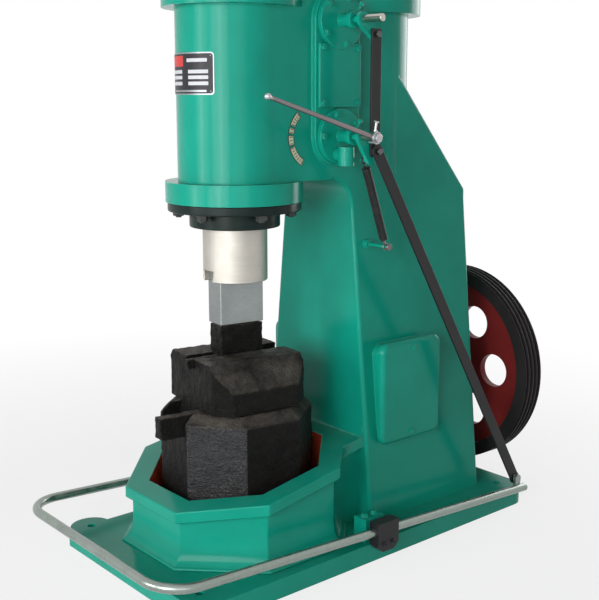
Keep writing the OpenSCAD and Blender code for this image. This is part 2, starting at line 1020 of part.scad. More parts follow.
// A clamp that carries the pipe and turns on the hinge pin.
module treadle_clamp() {
    color(black)
        difference() {
            union() {
                slab_x(clamp_x, clamp_x + clamp_w)
                    translate([hinge_y, hinge_z])
                        clamp_outline();
                rod_x_at(neck_x, clamp_x + 1, [hinge_y, hinge_z], neck_r);
            }
            rod_x_at(neck_x - 1, clamp_x - 1, [hinge_y, hinge_z], hinge_pin_d / 2 + hinge_pin_gap);
            on_treadle()
                translate([pipe_x, clamp_len, 0])
                    rotate([90, 0, 0])
                        cylinder(h = 2 * clamp_len, r = pipe_r);
        }
}

module treadle_clamp_right() {
    treadle_clamp();
}

module treadle_clamp_left() {
    mirror([1, 0, 0])
        treadle_clamp();
}

// A block on the base plate with the treadle's hinge pin.
module hinge_block() {
    color(green) {
        translate([block_x, hinge_y - block_len / 2, base_t])
            cube([block_w, block_len, hinge_z + block_above - base_t]);
        rod_x_at(block_x + block_w - 1, clamp_x - 3, [hinge_y, hinge_z], hinge_pin_d / 2);
    }
}

module hinge_block_right() {
    hinge_block();
}

module hinge_block_left() {
    mirror([1, 0, 0])
        hinge_block();
}

// Places a shape along the spring, with z = 0 at its upper pin and the stud at -spring_len.
module on_spring() {
    translate([spring_x, spring_top[0], spring_top[1]])
        rotate([spring_lean, 0, 0])
            children();
}

// The ring at a spring's end, round a pin along X.
module spring_eye() {
    rotate([0, 90, 0])
        rotate_extrude()
            translate([spring_eye_r + spring_wire / 2, 0])
                circle(spring_wire / 2);
}

module spring_coil() {
    hole_r = spring_d / 2 - spring_wire;
    color(black)
        on_spring() {
            difference() {
                translate([0, 0, -coil_top - coil_len])
                    cylinder(h = coil_len, d = spring_d);
                translate([0, 0, -coil_top - coil_len - 1])
                    cylinder(h = coil_len - spring_wire, r = hole_r);
            }
            spring_eye();
            translate([0, 0, -coil_top - 1])
                cylinder(h = coil_top - spring_eye_r - 1, r = spring_wire / 2);
        }
}

module spring_hook() {
    color(steel)
        on_spring()
            translate([0, 0, -spring_len]) {
                spring_eye();
                translate([0, 0, spring_eye_r + 1])
                    cylinder(h = coil_len - coil_top, r = spring_wire / 2 + 1);
            }
}

module spring_stud() {
    stud_end = spring_x + spring_d / 2;
    color(steel) {
        rod_x_at(stud_boss_x, stud_end, spring_foot, spring_pin_r);
        rod_x_at(stud_end - 1, stud_end + 5, spring_foot, spring_pin_r + 5);
    }
}

module side_cover_right() {
    color(green)
        slab_x(side_pad_x, side_pad_x + side_cover_t)
            side_cover_outline();
}

module side_cover_left() {
    color(green)
        slab_x(-side_pad_x - side_cover_t, -side_pad_x)
            side_cover_outline();
}

module nameplate() {
    color("dimgray")
        translate([0, 0, plate_z])
            rotate(-90 - plate_span / 2)
                rotate_extrude(angle = plate_span)
                    translate([barrel_r, 0])
                        square([plate_t, plate_h]);
}

// Where a segment of the lever's scale starts, in degrees.
function scale_start(i) = i == 0 ? scale_from : scale_start(i - 1) + scale_spans[i - 1] + scale_gap;

module lever_scale() {
    color("wheat")
        translate([web_half, valve_y - scale_in, low_valve_z])
            rotate([90, 0, 90])
                for (i = [0 : len(scale_spans) - 1])
                    rotate(scale_start(i))
                        rotate_extrude(angle = scale_spans[i])
                            translate([scale_r - scale_w / 2, 0])
                                square([scale_w, plate_t]);
}

module bearing_cap() {
    y = column_rear + bearing_t;
    color(green)
        difference() {
            rod_y_at(y, y + cap_t, crank_z, cap_r);
            rod_y_at(y - 1, y + cap_t + 1, crank_z, shaft_d / 2 + shaft_gap);
        }
}

// Half of the flywheel's cross-section: radius across, width upward.
module flywheel_section() {
    pitch = rim_w / grooves;
    difference() {
        union() {
            translate([wheel_r - rim_t, 0])
                square([rim_t, rim_w]);
            translate([hub_r - 1, (rim_w - web_t) / 2])
                square([wheel_r - rim_t - hub_r + 2, web_t]);
            translate([shaft_d / 2, 0])
                square([hub_r - shaft_d / 2, hub_len]);
        }
        for (i = [0 : grooves - 1])
            translate([wheel_r, pitch * (i + 0.5)])
                polygon([
                    [1, -0.4 * pitch],
                    [1, 0.4 * pitch],
                    [-groove_depth, 0.2 * pitch],
                    [-groove_depth, -0.2 * pitch]
                ]);
    }
}

module flywheel() {
    color("maroon")
        difference() {
            translate([0, wheel_y, crank_z])
                rotate([-90, 0, 0])
                    rotate_extrude()
                        flywheel_section();
            for (i = [0 : web_holes - 1])
                translate([0, wheel_y - 1, crank_z])
                    rotate([0, i * 360 / web_holes, 0])
                        translate([web_hole_at, 0, 0])
                            rotate([-90, 0, 0])
                                cylinder(h = rim_w + 2, r = web_hole_r);
        }
}

module crankshaft() {
    color(steel) {
        rod_y_at(column_rear - 55, shaft_end, crank_z, shaft_d / 2);
        rod_y_at(shaft_end - 12, shaft_end, crank_z, shaft_d / 2 + 10);
    }
}

base_plate();
anvil_collar();
frame();
front_cover();
rear_cover();
gland_flange();
gland_ring();
ram();
top_die();
top_die_key();
bottom_die();
bottom_die_key();
sow_block();
sow_wedge();
anvil();
upper_valve_cover();
lower_valve_cover();
valve_chest_cover();
air_elbow();
upper_valve_shaft();
upper_crank();
lower_valve_shaft();
lower_crank();
hand_lever();
link_bar();
treadle_rod();
treadle();
treadle_clamp_right();
treadle_clamp_left();
hinge_block_right();
hinge_block_left();
spring_coil();
spring_hook();
spring_stud();
side_cover_right();
side_cover_left();
nameplate();
lever_scale();
bearing_cap();
flywheel();
crankshaft();
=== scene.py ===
"""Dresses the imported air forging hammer: painted castings, forged anvil, valve gear, plates and a studio."""
import json
import math

import bmesh
import bpy
from bpy.props import FloatProperty, FloatVectorProperty, IntProperty, PointerProperty
from mathutils import Matrix, Vector, noise


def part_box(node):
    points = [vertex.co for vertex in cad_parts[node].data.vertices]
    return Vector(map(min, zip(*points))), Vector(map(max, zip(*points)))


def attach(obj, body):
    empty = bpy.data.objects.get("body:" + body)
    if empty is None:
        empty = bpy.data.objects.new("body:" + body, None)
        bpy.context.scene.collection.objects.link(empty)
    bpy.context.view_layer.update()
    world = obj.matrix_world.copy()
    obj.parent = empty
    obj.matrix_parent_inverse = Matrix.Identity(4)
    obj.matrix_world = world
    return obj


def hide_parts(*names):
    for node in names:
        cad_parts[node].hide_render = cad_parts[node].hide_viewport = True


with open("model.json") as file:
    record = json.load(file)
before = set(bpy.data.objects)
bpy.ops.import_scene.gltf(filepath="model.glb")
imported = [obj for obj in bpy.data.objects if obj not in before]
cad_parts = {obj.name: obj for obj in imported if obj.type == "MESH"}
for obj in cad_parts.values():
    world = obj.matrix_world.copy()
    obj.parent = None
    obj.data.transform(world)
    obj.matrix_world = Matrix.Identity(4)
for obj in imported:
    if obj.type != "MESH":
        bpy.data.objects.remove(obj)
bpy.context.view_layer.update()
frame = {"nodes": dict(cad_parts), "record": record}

bl_info = {
    "name": "Air forging hammer",
    "version": (1, 0, 0),
    "blender": (4, 5, 0),
    "location": "View3D > Sidebar > Hammer",
    "description": "Dresses the castings, forgings, valve gear and treadle of an air forging hammer",
    "category": "Object",
}

BODY_OF = {node: body for body, nodes in frame["record"]["behaviour"]["bodies"].items() for node in nodes}
CLAMPS = ("treadle_clamp_right", "treadle_clamp_left")
HINGE_BLOCKS = ("hinge_block_right", "hinge_block_left")
SIDE_COVERS = ("side_cover_right", "side_cover_left")
AXIS_X = Vector((1, 0, 0))
AXIS_Y = Vector((0, 1, 0))
AXIS_Z = Vector((0, 0, 1))

# How meshes are welded, told flat, rounded and creased.
WELD = 2e-5
FLAT = math.radians(0.4)
SHARP = math.radians(28)
CREASE = math.radians(40)

# Places on the machine, in metres, as the solids have them. Turns of plates and scales are in degrees.
BARREL_R = 0.171
REAR_BARREL_Y = 0.5
COLUMN_FRONT = 0.335
HEAD_SIDE = 0.168
VALVE_Y = 0.255
LOW_VALVE_Z = 1.308
UP_VALVE_Z = 1.648
VALVE_FACE = 0.203
VALVE_BOLT_R = 0.07
VALVE_BOLT_FROM = {LOW_VALVE_Z: 34, UP_VALVE_Z: -77}
ELBOW_DROP = 0.05
ELBOW_REACH = 0.03
SEAT_EDGE = 0.0115
CHEST_UP = 0.025
CHEST_DOWN = 0.004
CHEST_IN = 0.005
BOSS_END = 0.261
BOSS_COLLAR_R = 0.026
SHAFT_R = 0.011
CRANK_FACE = 0.298
HUB_R = 0.021
KNOB_Y = -0.132
PLATE_SHEET = (BARREL_R, 0.1724)
PLATE_FIELD = (0.1715, 0.1728)
PLATE_PRINT = (0.172, 0.1731)
PLATE_FOOT = (0.172, 0.1730)
RIVET_R = 0.1727
RIVET_TURN = 31.5
SCALE_Y = 0.169
SCALE_R = 0.086
SCALE_W = 0.021
SCALE_SPANS = (29, 12, 20, 43)
SCALE_FROM = 129
SCALE_GAP = 3
SCALE_BORDER = 0.002
SCALE_BORDER_TURN = 1.3
MARK_SPACING = 6
MARK_HALF_TURN = 0.7
MARK_REACHES = (0.0062, 0.0045)
SPRING_TOP = Vector((0.267, 0.289, 1.238))
SPRING_FOOT = Vector((0.267, 0.386, 0.966))
SPRING_EYE_R = 0.0095
SPRING_LEAD = 0.0245
CRANKSHAFT_Z = 0.436
RIM_DEPTH = 0.048
DIE_TURN = math.radians(-8)
CLAMP_SCREW_Y = (0.237, 0.273)
CLAMP_SCREW_UP = 0.026
COVER_BOLT_R = 0.164
COVER_SINK = 0.020
GLAND_BOLT_R = 0.172
CAP_BOLT_R = 0.095

# The hollow sweep that leads from the collar's rim up the column's front.
SWEEP_Y = 0.319
SWEEP_Z = 0.346
SWEEP_RISE = 0.057
SWEEP_HALF = 0.235
SWEEP_TAPER = 0.016
SWEEP_ROOT = 0.356
SWEEP_TOP = 0.42
SWEEP_STEPS = 8

# Zones that tell the frame's edges apart: reaches from an axis, and spans of Y or Z.
BORE_REACH = 0.102
VALVE_SOCKET_REACH = 0.02
CRANK_SOCKET_Y = 0.8
CRANK_SOCKET_REACH = 0.05
BARREL_Z = (1.17, 1.67)
BARREL_JOIN = 0.006
PAD_X = HEAD_SIDE - 0.0025
PAD_Y = (0.15, 0.36)
PAD_Z = (1.2, 1.745)
FLANGE_LOW_Z = 1.1
FLANGE_REACH = (0.2, 0.215)
GLAND_FLANGE_Z = (1.11, 1.18)
GLAND_FLANGE_REACH = 0.165
GLAND_FLANGE_BACK = 0.232
SEAT_X = 0.2
SEAT_Y = (0.375, 0.655)
SEAT_Z = (0.31, 0.65)
BEARING_Y = 0.874
BEARING_REACH = 0.145
STUD_X = 0.15
STUD_Y = (0.36, 0.41)
STUD_Z = (0.9, 1.0)
BASE_TOP = 0.0605
NECK_BACK = 0.337

# Rounding of edges, by how a piece is made.
BASE_ROUND = 0.007
COLLAR_ROUND = 0.007
GLAND_ROUND = 0.004
TURNED_ROUND = 0.003
KEY_ROUND = 0.002
LEVER_ROUND = 0.002
CRANK_ROUND = 0.0018
STUD_ROUND = 0.0015
BAR_ROUND = 0.0014
PIPE_ROUND = 0.0012
CLAMP_ROUND = 0.010

# A forging's unevenness, in waves to the metre.
HOLLOWS = 9
HAMMER_MARKS = 34
CHIPS = 60

# Studio lamps. Strips stand a little in front of the panels.
LAMP_TALL = 2.0
LAMP_UP = 1.5
LAMP_AIM = Vector((0, 0, 1.3))
PANEL_APART = 3.8
STRIP_APART = 3.7
STRIP_WIDE = 0.16


def srgb(red, green, blue):
    """A colour as a painter reads it off a chart, from 0 to 255, in linear light."""
    def channel(c):
        c /= 255
        return c / 12.92 if c <= 0.04045 else ((c + 0.055) / 1.055) ** 2.4
    return channel(red), channel(green), channel(blue)


def shade(tint, factor):
    """A lighter or darker tint."""
    return tuple(min(1.0, c * factor) for c in tint)


def colour(label, about, value):
    return FloatVectorProperty(name=label, description=about, subtype="COLOR", size=3, min=0, max=1,
                               default=value)


def length(label, about, value):
    return FloatProperty(name=label, description=about, subtype="DISTANCE", unit="LENGTH", min=0,
                         default=value)


def angle(label, about, degrees):
    return FloatProperty(name=label, description=about, subtype="ANGLE", default=math.radians(degrees))


def watts(label, about, value):
    return FloatProperty(name=label, description=about, unit="POWER", min=0, default=value)


def ambient(label, about, value):
    return FloatProperty(name=label, description=about, min=0, default=value)


class HammerFinish(bpy.types.PropertyGroup):
    """Colours of the paints and metals."""
    green: colour("Green", "Gloss paint on the castings", srgb(16, 156, 134))
    green_deep: colour("Deep green", "Paint where it lies thicker", srgb(14, 146, 125))
    primer: colour("Primer", "Primer inside the collar", srgb(232, 92, 56))
    black: colour("Black", "Black iron of the bars and clamps", srgb(26, 26, 28))
    gland: colour("Gland black", "Paint on the gland", srgb(16, 30, 27))
    forged: colour("Forging", "Scale on the forged anvil", srgb(15, 14, 13))
    forged_face: colour("Anvil face", "Cleaned face of the anvil", srgb(32, 32, 34))
    steel: colour("Steel", "Bright turned steel", srgb(196, 192, 184))
    lever: colour("Lever steel", "Dull steel of the hand lever", srgb(142, 132, 134))
    die: colour("Die steel", "Ground faces of the top die", srgb(152, 158, 157))
    zinc: colour("Zinc", "Galvanised pipe", srgb(150, 160, 153))
    wheel_red: colour("Wheel red", "Paint on the flywheel's web", srgb(134, 42, 42))
    rim_black: colour("Rim black", "Paint on the flywheel's rim", srgb(48, 44, 46))
    plate_dark: colour("Plate field", "Dark field of the nameplate", srgb(24, 24, 32))
    plate_pale: colour("Plate blanks", "Pale blanks on the nameplate", srgb(206, 208, 212))
    plate_red: colour("Plate corner", "Red corner of the nameplate", srgb(206, 54, 54))
    scale_cream: colour("Scale", "Segments of the lever's scale", srgb(206, 208, 176))
    dust: colour("Dust", "Dust on level faces", srgb(126, 138, 126))


class HammerDetail(bpy.types.PropertyGroup):
    """Sizes of the rounding and of the small fittings."""
    cast_round: length("Casting edges", "Rounding of the column's edges", 0.013)
    cover_round: length("Side cover edges", "Rounding of the side covers", 0.017)
    flange_round: length("Flange edges", "Rounding of the flanges", 0.006)
    plate_round: length("Plate edges", "Rounding of plates and covers", 0.004)
    cover_bolt: length("Cover bolts", "Width across flats of the cylinder cover bolts", 0.036)
    gland_bolt: length("Gland bolts", "Width across flats of the gland bolts", 0.030)
    valve_bolt: length("Valve bolts", "Width across flats of the valve cover bolts", 0.016)
    spring_wire: length("Spring wire", "Diameter of the return spring's wire", 0.005)
    spring_coil: length("Spring coil", "Outer diameter of the return spring", 0.028)
    spring_turns: IntProperty(name="Spring turns", description="Turns of the return spring", min=4,
                              default=44)
    forging_grain: length("Forging grain", "Depth of the forged anvil's unevenness", 0.0028)


class HammerStudio(bpy.types.PropertyGroup):
    """Camera and light."""
    lens: FloatProperty(name="Lens", description="Focal length", unit="CAMERA", min=1, default=61.885)
    turn: angle("Turn", "Camera turn from the front", 49.5)
    tilt: angle("Tilt", "Camera tilt below the horizon", 11.2)
    place: FloatVectorProperty(name="Place", description="Camera position", subtype="XYZ", unit="LENGTH",
                               default=(2.521, -1.8925, 1.4277))
    front: watts("Front", "Power of the main front panel", 80)
    fill: watts("Fill", "Power of the panel left of the front", 42)
    strip: watts("Strip", "Power of each strip lamp", 14)
    side: watts("Side", "Power of the side panel", 19)
    back: watts("Back", "Power of the panel behind the machine", 40)
    horizon: ambient("Horizon", "Strength of the ambient light from the walls", 0.3)
    overhead: ambient("Overhead", "Strength of the ambient light from above", 0.02)


def finish():
    return bpy.context.scene.hammer_finish


def detail():
    return bpy.context.scene.hammer_detail


def studio():
    return bpy.context.scene.hammer_studio


def rgba(value):
    return (*value[:3], 1.0)


class Tree:
    """Adds and links shader nodes in one tree."""

    def __init__(self, tree):
        self.tree = tree

    def add(self, kind, inputs=None, **settings):
        node = self.tree.nodes.new("ShaderNode" + kind)
        for key, value in settings.items():
            setattr(node, key, value)
        for key, value in (inputs or {}).items():
            self.feed(node.inputs[key], value)
        return node

    def feed(self, socket, value):
        if isinstance(value, bpy.types.NodeSocket):
            self.tree.links.new(value, socket)
        else:
            socket.default_value = value

    def math(self, operation, a, b=0.0, clamp=False):
        return self.add("Math", {0: a, 1: b}, operation=operation, use_clamp=clamp).outputs[0]

    def noise(self, vector, scale, detail_level=3.0, rough=0.55):
        inputs = {"Vector": vector, "Scale": scale, "Detail": detail_level, "Roughness": rough}
        return self.add("TexNoise", inputs).outputs["Fac"]

    def ramp(self, value, low, high, to_low=0.0, to_high=1.0):
        inputs = {"Value": value, "From Min": low, "From Max": high, "To Min": to_low, "To Max": to_high}
        return self.add("MapRange", inputs, clamp=True).outputs["Result"]

    def blend(self, factor, a, b):
        return self.add("Mix", {0: factor, 6: a, 7: b}, data_type="RGBA").outputs[2]

    def place(self):
        return self.add("TexCoord").outputs["Object"]


def effect(name, inputs, outputs, build):
    """A shader node group with float inputs and outputs."""
    group = bpy.data.node_groups.new(name, "ShaderNodeTree")
    for label, value in inputs.items():
        socket = group.interface.new_socket(label, in_out="INPUT", socket_type="NodeSocketFloat")
        socket.default_value = value
    for label in outputs:
        group.interface.new_socket(label, in_out="OUTPUT", socket_type="NodeSocketFloat")
    source = group.nodes.new("NodeGroupInput")
    sink = group.nodes.new("NodeGroupOutput")
    for label, socket in build(Tree(group), source.outputs).items():
        group.links.new(socket, sink.inputs[label])
    return group


def casting_skin(t, given):
    """Slow waves of a sand casting under paint, with a fine orange peel on top."""
    at = t.place()
    wave = t.noise(at, 7.0, 2.0)
    lump = t.noise(at, 40.0, 2.0)
    peel = t.noise(at, 380.0, 2.0)
    height = t.math("ADD", wave, t.math("MULTIPLY", lump, 0.16))
    height = t.math("ADD", height, t.math("MULTIPLY", peel, given["Peel"]))
    tone = t.ramp(t.noise(at, given["Patch"], 4.0), 0.32, 0.68)
    return {"Height": height, "Tone": tone}


def edge_wear_and_highlight(t, given):
    """Where an edge is rubbed, and where the green paint takes a painted highlight: the turn of the surface
    within a width, broken up by noise.
    """
    soft = t.add("Bevel", {"Radius": given["Width"]}, samples=6).outputs["Normal"]
    true = t.add("NewGeometry").outputs["Normal"]
    turn = t.add("VectorMath", {0: soft, 1: true}, operation="DOT_PRODUCT").outputs["Value"]
    edge = t.ramp(turn, 0.985, 0.80)
    patchy = t.ramp(t.noise(t.place(), 38.0, 5.0, 0.7), 0.46, 0.66)
    return {"Mask": t.math("MULTIPLY", t.math("MULTIPLY", edge, patchy), given["Wear"], clamp=True)}


def settled_dust_and_top_light(t, given):
    """Dust on faces that look up, thicker in patches; on the forgings it is turned up strongly and also stands
    for painted light falling on their upward faces.
    """
    normal = t.add("SeparateXYZ", {0: t.add("TexCoord").outputs["Normal"]}).outputs["Z"]
    patch = t.ramp(t.noise(t.place(), 14.0, 5.0, 0.65), 0.35, 0.75)
    level = t.ramp(normal, given["From"], 0.98)
    return {"Mask": t.math("MULTIPLY", t.math("MULTIPLY", level, patch), given["Amount"], clamp=True)}


def forged_skin(t, given):
    """Scale and hammer marks of a forging: broad hollows, winding ridges and pits."""
    at = t.place()
    broad = t.noise(at, 17.0, 3.0)
    ridge = t.add("TexNoise", {"Vector": at, "Scale": given["Grain"], "Detail": 3.0, "Distortion": 1.6})
    ridge = ridge.outputs["Fac"]
    pit = t.add("TexVoronoi", {"Vector": at, "Scale": 240.0}).outputs["Distance"]
    height = t.math("ADD", t.math("MULTIPLY", broad, 0.7), ridge)
    height = t.math("ADD", height, t.math("MULTIPLY", pit, 0.35))
    mixed = t.math("ADD", t.math("MULTIPLY", broad, 0.5), t.math("MULTIPLY", ridge, 0.6))
    return {"Height": height, "Tone": t.ramp(mixed, 0.35, 0.75)}


def turned_marks(t, given):
    """Fine marks of a lathe or a grinding wheel, drawn out across the long axis."""
    drawn = t.add("CombineXYZ", {0: given["X"], 1: given["Y"], 2: given["Z"]}).outputs[0]
    drawn = t.add("VectorMath", {0: t.place(), 1: drawn}, operation="MULTIPLY").outputs[0]
    fine = t.noise(drawn, 1.0, 4.0, 0.6)
    cloud = t.noise(t.place(), 11.0, 3.0)
    mixed = t.math("ADD", t.math("MULTIPLY", fine, 0.55), t.math("MULTIPLY", cloud, 0.45))
    return {"Height": fine, "Tone": t.ramp(mixed, 0.3, 0.7)}


def zinc_bloom(t, given):
    """Crystals of a zinc coat, with dull patches where it has weathered."""
    at = t.place()
    cell = t.add("TexVoronoi", {"Vector": at, "Scale": given["Crystals"]}).outputs["Color"]
    crystal = t.add("SeparateColor", {0: cell}).outputs[0]
    dull = t.ramp(t.noise(at, 21.0, 4.0), 0.35, 0.7)
    tone = t.math("ADD", t.math("MULTIPLY", crystal, 0.5), t.math("MULTIPLY", dull, 0.5))
    return {"Tone": tone, "Dull": dull}


EFFECTS = {
    "casting_skin": ({"Peel": 0.03, "Patch": 5.0}, ("Height", "Tone"), casting_skin),
    "edge_wear_and_highlight": ({"Width": 0.004, "Wear": 0.5}, ("Mask",), edge_wear_and_highlight),
    "settled_dust_and_top_light": ({"Amount": 0.3, "From": 0.6}, ("Mask",), settled_dust_and_top_light),
    "forged_skin": ({"Grain": 95.0}, ("Height", "Tone"), forged_skin),
    "turned_marks": ({"X": 8.0, "Y": 8.0, "Z": 900.0}, ("Height", "Tone"), turned_marks),
    "zinc_bloom": ({"Crystals": 160.0}, ("Tone", "Dull"), zinc_bloom),
}


def use(t, name, **inputs):
    """Places an effect in a material with its own values, and builds it the first time."""
    group = bpy.data.node_groups.get(name) or effect(name, *EFFECTS[name])
    return t.add("Group", inputs, node_tree=group).outputs


def material(name, build):
    """A material with one Principled shader that build feeds, made once."""
    name = "hammer_" + name
    if name in bpy.data.materials:
        return bpy.data.materials[name]
    made = bpy.data.materials.new(name)
    made.use_nodes = True
    build(Tree(made.node_tree), made.node_tree.nodes["Principled BSDF"])
    return made


def bump(t, shader, height, strength, depth):
    node = t.add("Bump", {"Height": height, "Strength": strength, "Distance": depth})
    t.feed(shader.inputs["Normal"], node.outputs["Normal"])


def paint(name, light, deep, wear_and_highlight, rough=0.17, edge_amount=0.3, dust=0.08, gloss=0.15):
    """Gloss paint over a casting, with a colour of its own on the edges, and dusty on level faces. On the
    primer and the flywheel that edge colour is paint worn thin; on the green paint it is a lighter tint, a
    painted highlight where the rounded edges catch the lamps.
    """
    def build(t, shader):
        skin = use(t, "casting_skin")
        edge_mask = use(t, "edge_wear_and_highlight", Wear=edge_amount)["Mask"]
        upward_mask = use(t, "settled_dust_and_top_light", Amount=dust)["Mask"]
        tint = t.blend(skin["Tone"], rgba(deep), rgba(light))
        tint = t.blend(upward_mask, tint, rgba(finish().dust))
        # Edge colour laid on through the edge mask: wear, and on the green paint a painted highlight.
        t.feed(shader.inputs["Base Color"], t.blend(edge_mask, tint, rgba(wear_and_highlight)))
        shine = t.ramp(skin["Tone"], 0, 1, rough + 0.06, rough)
        t.feed(shader.inputs["Roughness"], t.math("ADD", shine, t.math("MULTIPLY", upward_mask, 0.5)))
        shader.inputs["Specular IOR Level"].default_value = gloss
        bump(t, shader, skin["Height"], 0.2, 0.003)
    return material(name, build)


def iron(name, base, rough=0.42, edge_amount=0.5, gloss=0.3):
    """Black iron: thin paint or oil black, bare steel where it is rubbed."""
    def build(t, shader):
        skin = use(t, "casting_skin", Peel=0.12, Patch=16.0)
        edge_mask = use(t, "edge_wear_and_highlight", Width=0.0025, Wear=edge_amount)["Mask"]
        tint = t.blend(skin["Tone"], rgba(base), rgba(shade(base, 1.5)))
        t.feed(shader.inputs["Base Color"], t.blend(edge_mask, tint, rgba(srgb(112, 110, 106))))
        t.feed(shader.inputs["Metallic"], t.math("MULTIPLY", edge_mask, 0.8))
        t.feed(shader.inputs["Roughness"], t.ramp(skin["Tone"], 0, 1, rough, rough + 0.16))
        shader.inputs["Specular IOR Level"].default_value = gloss
        bump(t, shader, skin["Height"], 0.3, 0.002)
    return material(name, build)


def forging(name, base, rough=0.62, grain=95.0, strength=0.8, gloss=0.12):
    """Forged steel with its scale left on, polished a little on the corners, and paler on faces that look up:
    partly dust, partly painted light from above.
    """
    def build(t, shader):
        skin = use(t, "forged_skin", Grain=grain)
        edge_mask = use(t, "edge_wear_and_highlight", Width=0.007, Wear=0.6)["Mask"]
        upward_mask = use(t, "settled_dust_and_top_light", Amount=1.8, From=0.15)["Mask"]
        tint = t.blend(skin["Tone"], rgba(shade(base, 0.35)), rgba(shade(base, 1.7)))
        # The pale colour on upward faces is dust and painted light from above.
        tint = t.blend(upward_mask, tint, rgba(srgb(86, 82, 76)))
        t.feed(shader.inputs["Base Color"], t.blend(edge_mask, tint, rgba(srgb(96, 90, 84))))
        t.feed(shader.inputs["Metallic"], t.math("MULTIPLY", edge_mask, 0.5))
        t.feed(shader.inputs["Roughness"], t.ramp(skin["Tone"], 0, 1, rough, rough - 0.2))
        shader.inputs["Specular IOR Level"].default_value = gloss
        bump(t, shader, skin["Height"], strength, 0.007)
    return material(name, build)


def bright(name, base, rough, across):
    """Turned or ground bright steel, with marks across its long axis and oily clouds."""
    def build(t, shader):
        marks = use(t, "turned_marks", X=across[0], Y=across[1], Z=across[2])
        t.feed(shader.inputs["Base Color"], t.blend(marks["Tone"], rgba(shade(base, 0.72)), rgba(base)))
        t.feed(shader.inputs["Roughness"], t.ramp(marks["Tone"], 0, 1, rough + 0.12, rough))
        shader.inputs["Metallic"].default_value = 1.0
        bump(t, shader, marks["Height"], 0.12, 0.0004)
    return material(name, build)


def galvanised(name, base):
    """Galvanised pipe: crystals, dull bloom and bare rubbed spots."""
    def build(t, shader):
        bloom = use(t, "zinc_bloom")
        t.feed(shader.inputs["Base Color"], t.blend(bloom["Tone"], rgba(shade(base, 0.8)), rgba(base)))
        t.feed(shader.inputs["Metallic"], t.ramp(bloom["Dull"], 0, 1, 0.95, 0.7))
        t.feed(shader.inputs["Roughness"], t.ramp(bloom["Dull"], 0, 1, 0.26, 0.34))
        bump(t, shader, bloom["Tone"], 0.05, 0.0004)
    return material(name, build)


def printed(name, base):
    """A printed or enamelled sheet with faint scuffs."""
    def build(t, shader):
        skin = use(t, "casting_skin", Peel=0.02, Patch=60.0)
        edge_mask = use(t, "edge_wear_and_highlight", Width=0.0012, Wear=0.4)["Mask"]
        tint = t.blend(skin["Tone"], rgba(shade(base, 0.86)), rgba(base))
        t.feed(shader.inputs["Base Color"], t.blend(edge_mask, tint, rgba(srgb(180, 178, 172))))
        t.feed(shader.inputs["Roughness"], t.ramp(skin["Tone"], 0, 1, 0.36, 0.48))
        shader.inputs["Specular IOR Level"].default_value = 0.35
        bump(t, shader, skin["Height"], 0.06, 0.001)
    return material(name, build)


def green_paint():
    # The pale green on the edges is a painted highlight on the rounded edges.
    return paint("green_paint", finish().green, finish().green_deep, srgb(104, 186, 170), edge_amount=0.6)


def black_iron():
    return iron("black_iron", finish().black)


def bright_steel():
    return bright("bright_steel", finish().steel, 0.24, (500.0, 40.0, 40.0))


def dull_steel():
    return bright("dull_steel", finish().lever, 0.3, (60.0, 500.0, 500.0))


def solid_from(node, weld=WELD):
    """A welded copy of a node's mesh whose flat faces are whole."""
    bm = bmesh.new()
    bm.from_mesh(frame["nodes"][node].data)
    bmesh.ops.remove_doubles(bm, verts=bm.verts, dist=weld)
    bmesh.ops.dissolve_limit(bm, angle_limit=FLAT, verts=bm.verts, edges=bm.edges)
    bmesh.ops.recalc_face_normals(bm, faces=bm.faces)
    return bm


def is_sharp(edge):
    return len(edge.link_faces) == 2 and edge.calc_face_angle(0) > SHARP


def convex(edge):
    return edge.calc_face_angle_signed() > 0


def middle(edge):
    return (edge.verts[0].co + edge.verts[1].co) / 2


def round_edges(bm, width, segments=3, wanted=None, clamp=True):
    """Rounds the sharp edges, or those of them that wanted picks, by one width."""
    edges = [e for e in bm.edges if is_sharp(e) and (wanted is None or wanted(e))]
    if edges and width > 0:
        bmesh.ops.bevel(bm, geom=edges, offset=width, offset_type="OFFSET", segments=segments, profile=0.5,
                        affect="EDGES", clamp_overlap=clamp, miter_outer="ARC")
    return bm


def make_piece(name, bm, materials, body, replaced=()):
    """Turns a mesh into a piece that rides on a body and shades smoothly between its creases."""
    bmesh.ops.recalc_face_normals(bm, faces=bm.faces)
    mesh = bpy.data.meshes.new(name)
    bm.to_mesh(mesh)
    bm.free()
    for made in materials:
        mesh.materials.append(made)
    mesh.polygons.foreach_set("use_smooth", [True] * len(mesh.polygons))
    mesh.set_sharp_from_angle(angle=CREASE)
    piece = bpy.data.objects.new(name, mesh)
    bpy.context.scene.collection.objects.link(piece)
    even = piece.modifiers.new("even_shading", "WEIGHTED_NORMAL")
    even.keep_sharp = True
    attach(piece, body)
    if replaced:
        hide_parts(*replaced)


def stand_in(node, bm, materials):
    """A piece that takes the place of a node."""
    make_piece(node + "_look", bm, materials, BODY_OF[node], (node,))


def dress(node, materials, width, segments=3, pick=None):
    """Stands a rounded, painted piece in for a node. pick gives a face's material index."""
    bm = round_edges(solid_from(node), width, segments)
    if pick:
        for face in bm.faces:
            face.material_index = pick(face)
    stand_in(node, bm, materials)


def modelled(build):
    """A new mesh that build fills."""
    bm = bmesh.new()
    build(bm)
    return bm


def fit(build, coat, body):
    """A fitting that stands for no node, named after the function that builds it."""
    make_piece(build.__name__, modelled(build), [coat], body)


def box_middle(node):
    low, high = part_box(node)
    return (low + high) / 2


def outer_face(node):
    """Where a piece on one side ends away from the middle: its X, and the way it looks."""
    low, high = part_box(node)
    return (high.x, AXIS_X) if low.x > 0 else (low.x, -AXIS_X)


def outward(turn):
    """A level direction, by its turn from the front in radians."""
    return Vector((math.sin(turn), -math.cos(turn), 0))


def turns_round(count, start=0.0):
    """Even turns round a circle."""
    return [start + 2 * math.pi * i / count for i in range(count)]


